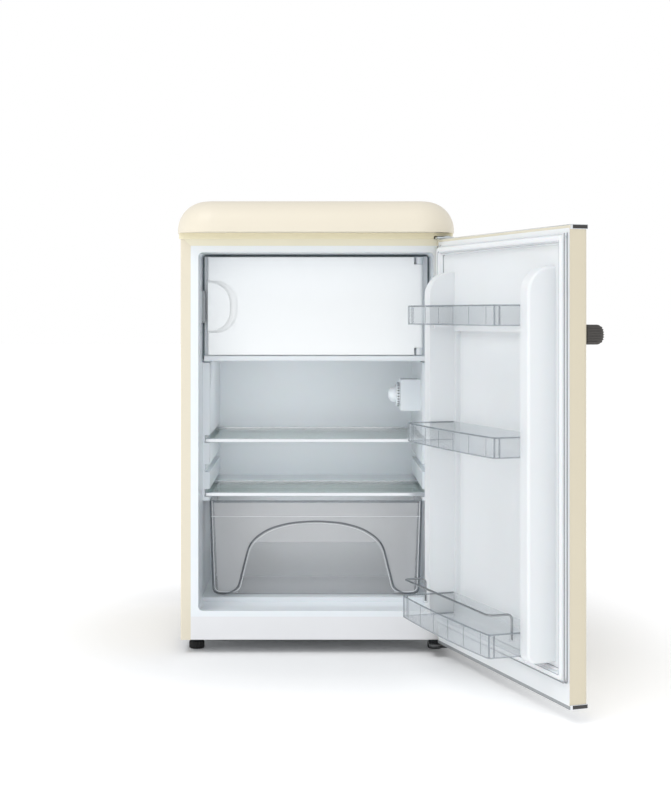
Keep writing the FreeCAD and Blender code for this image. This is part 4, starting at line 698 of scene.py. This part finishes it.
@dataclass
class Handle:
    """The ribbed grip and its two feet."""

    left: float = -263.0
    length: float = 170.0
    peak: float = -330.5
    bar: float = 17.0
    level: float = 638.0
    height: float = 33.0
    foot: float = 18.0
    teeth: int = 8
    tooth: float = 1.9
    nose: float = 13.0
    left_foot_back: float = -297.5
    right_foot_back: float = -302.5

    def _outline(self, x: float, back: float, shrink: float) -> list[Vector]:
        """The toothed cross-section at one place along the handle.

        Args:
            x: place along the handle.
            back: where the section ends towards the door.
            shrink: how far the outline is pulled in.

        Returns:
            The points of the section.
        """
        half = self.height / 2 - shrink
        points = [Vector((x, back, self.level + half))]
        steps = self.teeth * 6
        for k in range(steps + 1):
            share = k / steps
            z = half * (1 - 2 * share)
            over = min(1.0, abs(z) / half)
            round_off = self.nose * (1 - math.sqrt(max(0.0, 1 - over ** 2.6)))
            groove = self.tooth * (0.5 - 0.5 * math.cos(math.tau * self.teeth * share))
            points.append(Vector((x, self.peak + shrink + round_off + groove, self.level + z)))
        points.append(Vector((x, back, self.level - half)))
        return points

    def _run(self, blank: Blank, x0: float, x1: float, back: float) -> None:
        """Adds one stretch of the handle with eased ends.

        Args:
            blank: the mesh that it is added to.
            x0: where it starts.
            x1: where it ends.
            back: where it ends towards the door.
        """
        stations = ((x0, 1.2), (x0 + 0.4, 0.4), (x0 + 1.2, 0.0), (x1 - 1.2, 0.0), (x1 - 0.4, 0.4), (x1, 1.2))
        blank.rings([self._outline(x, back, shrink) for x, shrink in stations])

    def build(self) -> None:
        """Makes the grip and the feet with ribbed ends."""
        right = self.left + self.length
        grip = Blank()
        self._run(grip, self.left + self.foot, right - self.foot, self.peak + self.bar)
        grip.make("handle_grip_ribbed", DARK_GRIP, "door", "dark_handle", ("handle_grip",), on_door=True)
        feet = Blank()
        for x0, x1, back in ((self.left, self.left + self.foot, self.left_foot_back),
                             (right - self.foot, right, self.right_foot_back)):
            self._run(feet, x0 + 0.6, x1, back)
        pitch = self.height / self.teeth
        for k in range(1, self.teeth):
            z = self.level - self.height / 2 + pitch * k
            inset = 10.0 if k in (1, self.teeth - 1) else 5.0
            feet.block((self.left - 1.2, self.peak + inset, z - 1.1),
                       (self.left + 1.4, self.left_foot_back - 1.0, z + 1.1), 0.5, 2)
        feet.make("handle_feet_ribbed", DARK_GRIP, "door", "dark_handle", ("handle_posts",), on_door=True)


@dataclass
class DoorEnds:
    """The small end plates and trim lines of the door's caps."""

    edge: float = -269.0
    inner: float = -264.6
    outer: float = -295.0
    top: float = 819.0
    bottom: float = 25.0
    cap: float = 6.0

    def build(self) -> None:
        """Makes the framed end plates at the door's free edge and the bright line along the top cap."""
        line = Blank()
        line.tube([Vector((self.edge + 1.0, self.inner + 0.6, self.top - 0.9)),
                   Vector((-self.edge - 1.0, self.inner + 0.6, self.top - 0.9))], 0.85, 8)
        line.make("door_top_bright_line", BRIGHT, "door", "bright_trim", on_door=True)
        for name, low, high in (("top", self.top - self.cap - 2.2, self.top),
                                ("bottom", self.bottom, self.bottom + 8.2)):
            frame_blank = Blank()
            frame_blank.block((self.edge - 0.1, self.outer - 1.4, low + 0.15),
                              (self.edge + 1.2, self.inner + 1.0, high - 0.15), 0.45, 3)
            frame_blank.make("door_%s_end_frame" % name, BRIGHT, "door", "bright_trim", on_door=True)
            plate = Blank()
            plate.block((self.edge - 0.3, self.outer - 0.4, low + 1.0),
                        (self.edge + 0.4, self.inner - 3.4, high - 1.0), 0.35, 3)
            plate.make("door_%s_end_plate" % name, DARK_CAP, "door", "dark_cap", on_door=True)


@dataclass
class DoorBins:
    """Thickened rims, foot beads and ribs of the three clear bins, in a darker clear that paints the shade of
    their edges.
    """

    half: float = 189.0
    back: float = -261.5
    front: float = -252.5
    bow: float = 6.0
    corner: float = 9.0
    rib_pitch: float = 63.0
    bins: tuple[tuple[str, float, float, float], ...] = (("top_bin", 652.0, 36.0, 88.0),
                                                         ("middle_bin", 431.0, 36.0, 88.0),
                                                         ("bottom_bin", 99.0, 41.0, 98.0))

    def _front(self, reach: float, x: float, inset: float) -> float:
        """Place of the bowed front at one place across it.

        Args:
            reach: how far the bin reaches out at its corners.
            x: place across the bin.
            inset: how far in from the outer face.

        Returns:
            How far out the front stands there.
        """
        return self.front + reach + self.bow * (1 - (x / self.half) ** 2) - inset

    def _rim(self, reach: float, level: float, inset: float) -> list[Vector]:
        """The line of a rim round the sides and the bowed front.

        Args:
            reach: how far the bin reaches out at its corners.
            level: its height.
            inset: how far in from the outer face.

        Returns:
            The points of the rim's middle line.
        """
        side = self.half - inset
        corners = [(-side, self.back + 1, level), (-side, self._front(reach, -side, inset), level)]
        spans = 12
        for k in range(1, spans):
            x = -side + 2 * side * k / spans
            corners.append((x, self._front(reach, x, inset), level))
        corners += [(side, self._front(reach, side, inset), level), (side, self.back + 1, level)]
        return bent(corners, self.corner - inset, 6)

    def build(self) -> None:
        """Adds each bin's rim, foot bead and ribs."""
        for name, level, height, reach in self.bins:
            rim = Blank()
            # The rim, foot bead and ribs take the darker clear: painted shade of the bin's edges.
            rim.tube(self._rim(reach, level + height - 1.4, 1.0), 1.35, 8)
            rim.make(name + "_rim", CLEAR_EDGE_SHADE, name, "clear_moulding", on_door=True)
            foot = Blank()
            foot.tube(self._rim(reach, level + 1.1, 1.0), 1.0, 8)
            foot.make(name + "_foot_bead", CLEAR_EDGE_SHADE, name, "clear_moulding", on_door=True)
            ribs = self._ribs(level, height, reach)
            ribs.make(name + "_ribs", CLEAR_EDGE_SHADE, name, "clear_moulding", on_door=True)

    def _ribs(self, level: float, height: float, reach: float) -> Blank:
        """The upright ribs of one bin and the posts in its corners.

        Args:
            level: the bin's underside.
            height: its height.
            reach: how far it reaches out at its corners.

        Returns:
            The ribs and posts as one blank.
        """
        ribs = Blank()
        edge = self.front + reach
        count = int(2 * (self.half - 20) // self.rib_pitch)
        for k in range(count + 1):
            x = (k - count / 2) * self.rib_pitch
            y = self._front(reach, x, 0.0)
            ribs.block((x - 0.35, y - 3.0, level + 3.0), (x + 0.35, y - 1.7, level + height - 4.0), 0.15, 1)
        for side in (-1, 1):
            x = side * (self.half - 0.6)
            ribs.block((x - 0.6, edge - 12.0, level + 2.0), (x + 0.6, edge - 9.0, level + height - 3.0),
                       0.3, 2)
        post = ((0.1, 0.0), (1.5, 0.3), (1.5, height - 2.0), (0.1, height - 1.6))
        for side in (-1, 1):
            ribs.lathe(post, (side * (self.half - 3.4), edge - 2.6, level + 1.0), (0, 0, 1), 12)
        return ribs


@dataclass
class DrawerFront:
    """The drawer's raised arch, its frosted surround and its rim."""

    face: float = -131.9
    top: float = 287.0
    bottom: float = 95.5
    half_top: float = 218.0
    half_bottom: float = 209.5
    window_top: float = 204.0
    line: float = 255.0
    leg_foot: float = 106.0
    leg_head: float = 199.0
    leg_spread: float = 161.0
    leg_lean: float = 24.0

    def _arch(self, inset: float, within: float) -> list[Vector]:
        """The bead's line down one side, over the arch and up the other side.

        Args:
            inset: how far out of the drawer's face it stands.
            within: how far inside the bead's own line it runs.

        Returns:
            The points of the line.
        """
        half = [(-217.5, self.top), (-212.0, 118.0), (-211.0, 98.5), (-184.0, 95.5), (-161.0, 106.0),
                (-137.0, 201.0), (-103.0, 228.0), (-58.0, 241.5)]
        half = [(x + within, z + (within if x < -180.0 else -within)) for x, z in half]
        half[0] = (half[0][0], self.top)
        full = half + [(0.0, 246.0 - within)] + [(-x, z) for x, z in reversed(half)]
        return bent([(x, self.face - inset, z) for x, z in full], 22.0, 8)

    def build(self) -> None:
        """Makes the bead in painted shade with its gleam, a painted highlight, then the cross line, the rim
        and the frosted sheet.
        """
        bead = Blank()
        bead.tube(self._arch(0.0, 0.0), 1.7, 10)
        bead.make("drawer_arch_bead", DRAWER_BEAD_SHADE, "crisper", "smoked_moulding")
        # Painted highlight: a pale rod just inside the dark bead.
        gleam = Blank()
        gleam.tube(self._arch(0.2, 3.4), 0.9, 8)
        gleam.make("drawer_arch_gleam", DRAWER_LINE_AND_GLEAM, "crisper", "smoked_moulding")
        line = Blank()
        line.block((-216.0, self.face - 0.5, self.line - 0.9), (216.0, self.face + 0.8, self.line + 0.9),
                   0.4, 2)
        line.make("drawer_cross_line", DRAWER_LINE_AND_GLEAM, "crisper", "smoked_moulding")
        # The drawer's rim takes the same darker clear: painted edge shade.
        rim = Blank()
        rim.block((-218.6, self.face - 0.2, self.top - 3.5), (218.6, self.face + 3.2, self.top + 0.8), 1.0, 3)
        rim.make("drawer_front_rim", CLEAR_EDGE_SHADE, "crisper", "smoked_moulding")
        self._frost()

    def _frost(self) -> None:
        """The frosted sheet above the window and in the two lower corners."""
        sheet = Blank()
        rows = 48
        for k in range(rows):
            z0 = self.bottom + 3 + (self.top - 7 - self.bottom) * k / rows
            z1 = self.bottom + 3 + (self.top - 7 - self.bottom) * (k + 1) / rows
            middle = (z0 + z1) / 2
            side0 = self._side(z0)
            side1 = self._side(z1)
            if middle > self.window_top:
                self._patch(sheet, (-side0, side0), (-side1, side1), z0, z1)
                continue
            leg0, leg1 = self._leg(z0), self._leg(z1)
            self._patch(sheet, (-side0, -leg0), (-side1, -leg1), z0, z1)
            self._patch(sheet, (leg0, side0), (leg1, side1), z0, z1)
        bmesh.ops.remove_doubles(sheet.bm, verts=sheet.bm.verts, dist=0.01)
        sheet.make("drawer_frosted_sheet", DRAWER_FROST, "crisper", "smoked_moulding")

    def _side(self, z: float) -> float:
        """Half width of the drawer's face at a height."""
        share = (z - self.bottom) / (self.top - self.bottom)
        return self.half_bottom - 8 + (self.half_top - self.half_bottom) * share

    def _leg(self, z: float) -> float:
        """Half width of the arch's opening at a height."""
        share = min(1.0, max(0.0, (z - self.leg_foot) / (self.leg_head - self.leg_foot)))
        return self.leg_spread - self.leg_lean * share

    def _patch(self, sheet: Blank, low: tuple[float, float], high: tuple[float, float], z0: float,
               z1: float) -> None:
        """One strip of the sheet.

        Args:
            sheet: the mesh that it is added to.
            low: its two ends at its lower edge.
            high: its two ends at its upper edge.
            z0: its lower edge.
            z1: its upper edge.
        """
        y = self.face + 0.25
        corners = ((low[0], y, z0), (low[1], y, z0), (high[1], y, z1), (high[0], y, z1))
        sheet.bm.faces.new([sheet.bm.verts.new(corner) for corner in corners])


@dataclass
class Dial:
    """Marks and numerals of the thermostat's dial."""

    face: float = 170.0
    y: float = -24.5
    z: float = 501.0
    radius: float = 25.0
    marks: int = 26
    numerals: int = 6
    first_angle: float = -100.0
    angle_step: float = 40.0
    numeral_reach: float = 0.0209
    numeral_size: float = 0.006

    def build(self) -> None:
        """Makes the ring of marks and the numerals."""
        ring = Blank()
        for k in range(self.marks):
            angle = math.tau * k / self.marks
            turn = Matrix.Rotation(angle, 4, "X")
            start = len(ring.bm.verts)
            ring.block((self.face + 2.5, -1.1, self.radius - 0.5),
                       (self.face + 6.5, 1.1, self.radius + 0.3), 0.15, 1)
            ring.bm.verts.ensure_lookup_table()
            fresh = ring.bm.verts[start:]
            bmesh.ops.transform(ring.bm, matrix=Matrix.Translation((0, self.y, self.z)) @ turn, verts=fresh)
        ring.make("dial_marks", INK, "thermostat_dial", "black_plastic")
        for number in range(self.numerals):
            self._numeral(number)

    def _numeral(self, number: int) -> None:
        """One numeral on the dial's face.

        Args:
            number: the number that it shows.
        """
        curve = bpy.data.curves.new("dial_number_%d" % number, "FONT")
        curve.body = str(number)
        curve.size = self.numeral_size
        curve.extrude = 0.0001
        curve.align_x = curve.align_y = "CENTER"
        angle = math.radians(self.first_angle + self.angle_step * number)
        thing = bpy.data.objects.new("dial_number_%d" % number, curve)
        bpy.context.scene.collection.objects.link(thing)
        place = Vector((self.face / 1000 - 0.0001, self.y / 1000 + self.numeral_reach * math.sin(angle),
                        self.z / 1000 + self.numeral_reach * math.cos(angle)))
        facing = Matrix(((0, 0, -1), (-1, 0, 0), (0, 1, 0))).to_4x4()
        thing.matrix_world = Matrix.Translation(place) @ facing
        curve.materials.append(INK.build())
        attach(thing, "thermostat_dial")


@dataclass
class BackFittings:
    """Screws of the cabinet's back and the compressor's seam."""

    back: float = 252.5
    half: float = 258.0
    low: float = 300.0
    high: float = 800.0
    compressor_front: float = 127.5
    compressor_x: float = -60.0
    seam_radius: float = 55.4
    seam_level: float = 118.0

    def build(self) -> None:
        """Makes the screw heads and the compressor's seam."""
        screws = Blank()
        levels = [self.low + (self.high - self.low) * k / 4 for k in range(5)]
        spots = [(side * self.half, level) for side in (-1, 1) for level in levels]
        spots += [(x, self.high + 12) for x in (-150, 0, 150)]
        head = ((4.2, 0.0), (4.2, 0.7), (3.6, 1.6), (2.0, 2.2), (0.2, 2.3))
        for x, z in spots:
            screws.lathe(head, (x, self.back, z), (0, 1, 0), 24)
            screws.block((x - 2.4, self.back + 2.0, z - 0.35), (x + 2.4, self.back + 2.45, z + 0.35), 0.1, 1)
            screws.block((x - 0.35, self.back + 2.0, z - 2.4), (x + 0.35, self.back + 2.45, z + 2.4), 0.1, 1)
        screws.make("back_screws", ZINC, "cabinet", "zinc_steel")
        middle = (self.compressor_front + self.back) / 2
        seam = Blank()
        circle = []
        for k in range(64):
            angle = math.tau * k / 64
            circle.append(Vector((self.compressor_x + self.seam_radius * math.cos(angle),
                                  middle + self.seam_radius * math.sin(angle), self.seam_level)))
        seam.tube(circle, 1.6, 8, closed=True)
        seam.make("compressor_seam", BLACK_ENAMEL, "cabinet", "black_enamel")


@dataclass
class SmallTrim:
    """Flutes of the feet and ribs of the lamp cover."""

    foot_x: float = 240.0
    foot_y: float = -198.5

    def build(self) -> None:
        """Makes the small trim."""
        for name, side in (("foot_left", -1), ("foot_right", 1)):
            body = "left_levelling_foot" if side < 0 else "right_levelling_foot"
            place = (side * self.foot_x, self.foot_y, 0.0)
            foot = Blank()
            foot.lathe(((13.5, 0.0), (15.0, 1.2), (15.4, 3.0), (15.4, 12.0), (14.6, 14.2), (12.0, 15.0)),
                       place, (0, 0, 1), 96, 24, 0.06)
            foot.lathe(((4.95, 14.5), (4.95, 27.0)), place, (0, 0, 1), 32)
            foot.make(name + "_fluted", RUBBER, body, "black_rubber", (name,))
        low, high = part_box("lamp_cover")
        ribs = Blank()
        count = 7
        for k in range(count):
            z = low.z * 1000 + 9 + (high.z - low.z - 0.018) * 1000 * k / (count - 1)
            ribs.block((low.x * 1000 - 0.6, low.y * 1000 + 4, z - 0.8),
                       (low.x * 1000 + 1.0, high.y * 1000 - 6, z + 0.8), 0.4, 2)
        ribs.make("lamp_cover_ribs", FROSTED, "cabinet", "frosted_cover")


@dataclass
class IceboxTrim:
    """The cold plate's raised channel, and a grey-teal strip of painted shade in the gap round the icebox."""

    inset: float = 24.0
    runs: int = 7
    gap_inner: float = 229.4
    gap_outer: float = 232.6
    gap_front: float = -129.0
    gap_back: float = -122.0

    def build(self) -> None:
        """Makes the channel that winds over the floor plate, and the painted-shade strip round the shell."""
        low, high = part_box("evaporator_plate")
        x0, x1 = low.x * 1000 + self.inset, high.x * 1000 - self.inset
        y0, y1 = low.y * 1000 + self.inset, high.y * 1000 - self.inset
        corners = []
        for k in range(self.runs):
            x = x0 + (x1 - x0) * k / (self.runs - 1)
            ends = (y0, y1) if k % 2 == 0 else (y1, y0)
            corners += [(x, ends[0], low.z * 1000 + 1.6), (x, ends[1], low.z * 1000 + 1.6)]
        channel = Blank()
        channel.tube(bent(corners, 14.0, 6), 2.6, 10)
        channel.make("cold_plate_channel", ALLOY, "cabinet", "evaporator_alloy")
        # Painted shade: the strip fills the gap round the icebox shell, where shade falls.
        strip = Blank()
        strip.block((-self.gap_outer, self.gap_front, 790.4), (self.gap_outer, self.gap_back, 793.6), 0.5, 2)
        for side in (-1, 1):
            ends = sorted((side * self.gap_inner, side * self.gap_outer))
            strip.block((ends[0], self.gap_front, 577.0), (ends[1], self.gap_back, 790.0), 0.5, 2)
        strip.make("icebox_gap_shade_strip", GAP_SHADE, "cabinet", "foam_core")


@dataclass
class FrameDress:
    """Gives every carried-over node its finish."""

    def build(self) -> None:
        """Dresses every node of the frame."""
        for finish, nodes in NODE_FINISHES.items():
            for name in nodes:
                self._dress(frame["nodes"][name], finish.build())

    def _dress(self, node: bpy.types.Object, material: bpy.types.Material) -> None:
        """Sets one node's only material.

        Args:
            node: the node's object.
            material: the finish that it takes.
        """
        node.data.materials.clear()
        node.data.materials.append(material)


@dataclass
class Studio:
    """Floor, light and camera."""

    camera_height: float = 0.672
    camera_back: float = 3.2525
    lens: float = 68.2
    shift_x: float = 0.0244
    shift_y: float = -0.1075
    floor_reach: float = 30.0
    glow_start: float = 0.3
    glow_end: float = 0.85
    near_glow: float = 0.02
    far_glow: float = 0.34

    def build(self) -> None:
        """Makes the floor, the lights, the surroundings and the camera."""
        self._floor()
        self._surroundings()
        self._sun("key_sun", (-0.45, -0.55, 0.95), 0.7, 40.0)
        self._lamp("front_fill", (0.3, -4.6, 1.2), (0.0, 0.0, 0.45), (3.2, 3.2), 20.0)
        self._lamp("hood_light", (-1.2, -1.2, 3.0), (0.0, 0.0, 0.45), (1.2, 1.2), 14.0)
        self._lamp("inner_fill", (-0.06, -0.12, 0.56), (-0.02, 0.18, 0.40), (0.2, 0.06), 0.3)
        self._lamp("shelf_fill", (0.0, -0.12, 0.395), (0.0, 0.16, 0.31), (0.36, 0.05), 0.2)
        self._lamp("drawer_fill", (0.0, -0.05, 0.272), (0.0, 0.03, 0.10), (0.34, 0.06), 0.2)
        self._camera()

    def _floor(self) -> None:
        """A plain pale floor that glows more away from the fridge, to meet the surroundings."""
        mesh = bpy.data.meshes.new("studio_floor")
        reach = self.floor_reach
        mesh.from_pydata([(-reach, -reach, 0), (reach, -reach, 0), (reach, reach, 0), (-reach, reach, 0)], [],
                         [(0, 1, 2, 3)])
        floor = bpy.data.objects.new("studio_floor", mesh)
        bpy.context.scene.collection.objects.link(floor)
        pale = Finish("studio_floor", (0.9, 0.9, 0.9, 1.0), roughness=0.9, drift=0.0, rough_drift=0.0,
                      grain=Grain.SMOOTH).build()
        tree = pale.node_tree
        glow = tree.nodes["Principled BSDF"].inputs
        glow["Emission Color"].default_value = (1.0, 1.0, 1.0, 1.0)
        spot = tree.nodes.new("ShaderNodeTexCoord")
        away = tree.nodes.new("ShaderNodeVectorMath")
        away.operation = "LENGTH"
        fade = tree.nodes.new("ShaderNodeMapRange")
        fade.interpolation_type = "SMOOTHSTEP"
        set_sockets(fade, {"From Min": self.glow_start, "From Max": self.glow_end,
                           "To Min": self.near_glow, "To Max": self.far_glow})
        tree.links.new(spot.outputs["Object"], away.inputs[0])
        tree.links.new(away.outputs["Value"], fade.inputs["Value"])
        tree.links.new(fade.outputs["Result"], glow["Emission Strength"])
        mesh.materials.append(pale)

    def _surroundings(self) -> None:
        """White surroundings, brightest near the horizon."""
        world = bpy.data.worlds.new("studio_white")
        world.use_nodes = True
        tree = world.node_tree
        ground = tree.nodes["Background"]
        place = tree.nodes.new("ShaderNodeTexCoord")
        split = tree.nodes.new("ShaderNodeSeparateXYZ")
        tree.links.new(place.outputs["Generated"], split.inputs["Vector"])
        ramp = tree.nodes.new("ShaderNodeValToRGB")
        set_ramp(ramp, ((0.2, (1.0, 1.0, 1.0, 1.0)), (0.55, (0.58, 0.59, 0.61, 1.0))))
        tree.links.new(split.outputs["Z"], ramp.inputs["Fac"])
        tree.links.new(ramp.outputs["Color"], ground.inputs["Color"])
        ground.inputs["Strength"].default_value = 1.0
        bpy.context.scene.world = world

    def _sun(self, name: str, towards: Sequence[float], strength: float, spread: float) -> None:
        """One even, soft key light for the floor and the fridge alike.

        Args:
            name: the light's name.
            towards: direction from the fridge to the light.
            strength: its strength.
            spread: how wide it looks, in degrees.
        """
        data = bpy.data.lights.new(name, "SUN")
        data.energy = strength
        data.angle = math.radians(spread)
        sun = bpy.data.objects.new(name, data)
        sun.rotation_euler = Vector(towards).to_track_quat("Z", "Y").to_euler()
        bpy.context.scene.collection.objects.link(sun)

    def _lamp(self, name: str, place: Sequence[float], aim: Sequence[float], size: Sequence[float],
              power: float) -> None:
        """One soft light that isn't seen itself.

        Args:
            name: the light's name.
            place: where it stands, in metres.
            aim: the point that it faces.
            size: its two sides, in metres.
            power: its power in watts.
        """
        data = bpy.data.lights.new(name, "AREA")
        data.shape = "RECTANGLE"
        data.size, data.size_y = size
        data.energy = power
        lamp = bpy.data.objects.new(name, data)
        lamp.location = place
        lamp.rotation_euler = (Vector(aim) - Vector(place)).to_track_quat("-Z", "Y").to_euler()
        lamp.visible_camera = False
        lamp.visible_glossy = False
        lamp.visible_transmission = False
        bpy.context.scene.collection.objects.link(lamp)

    def _camera(self) -> None:
        """The camera, level and straight on."""
        data = bpy.data.cameras.new("camera")
        data.lens = self.lens
        data.shift_x = self.shift_x
        data.shift_y = self.shift_y
        camera = bpy.data.objects.new("camera", data)
        camera.location = (0.0, -self.camera_back, self.camera_height)
        camera.rotation_euler = (math.radians(90.0), 0.0, 0.0)
        bpy.context.scene.collection.objects.link(camera)
        bpy.context.scene.camera = camera
        bpy.context.scene.view_settings.view_transform = "Standard"


def main() -> None:
    """Builds the studio and dresses the fridge."""
    logging.basicConfig(level=logging.INFO, format="%(message)s")
    parts = (Studio(), FrameDress(), DoorSeal(), Handle(), DoorEnds(), DoorBins(), DrawerFront(), Dial(),
             BackFittings(), SmallTrim(), IceboxTrim())
    for part in parts:
        part.build()
        LOG.info("%s done", type(part).__name__)


if __name__ == "__main__":
    main()
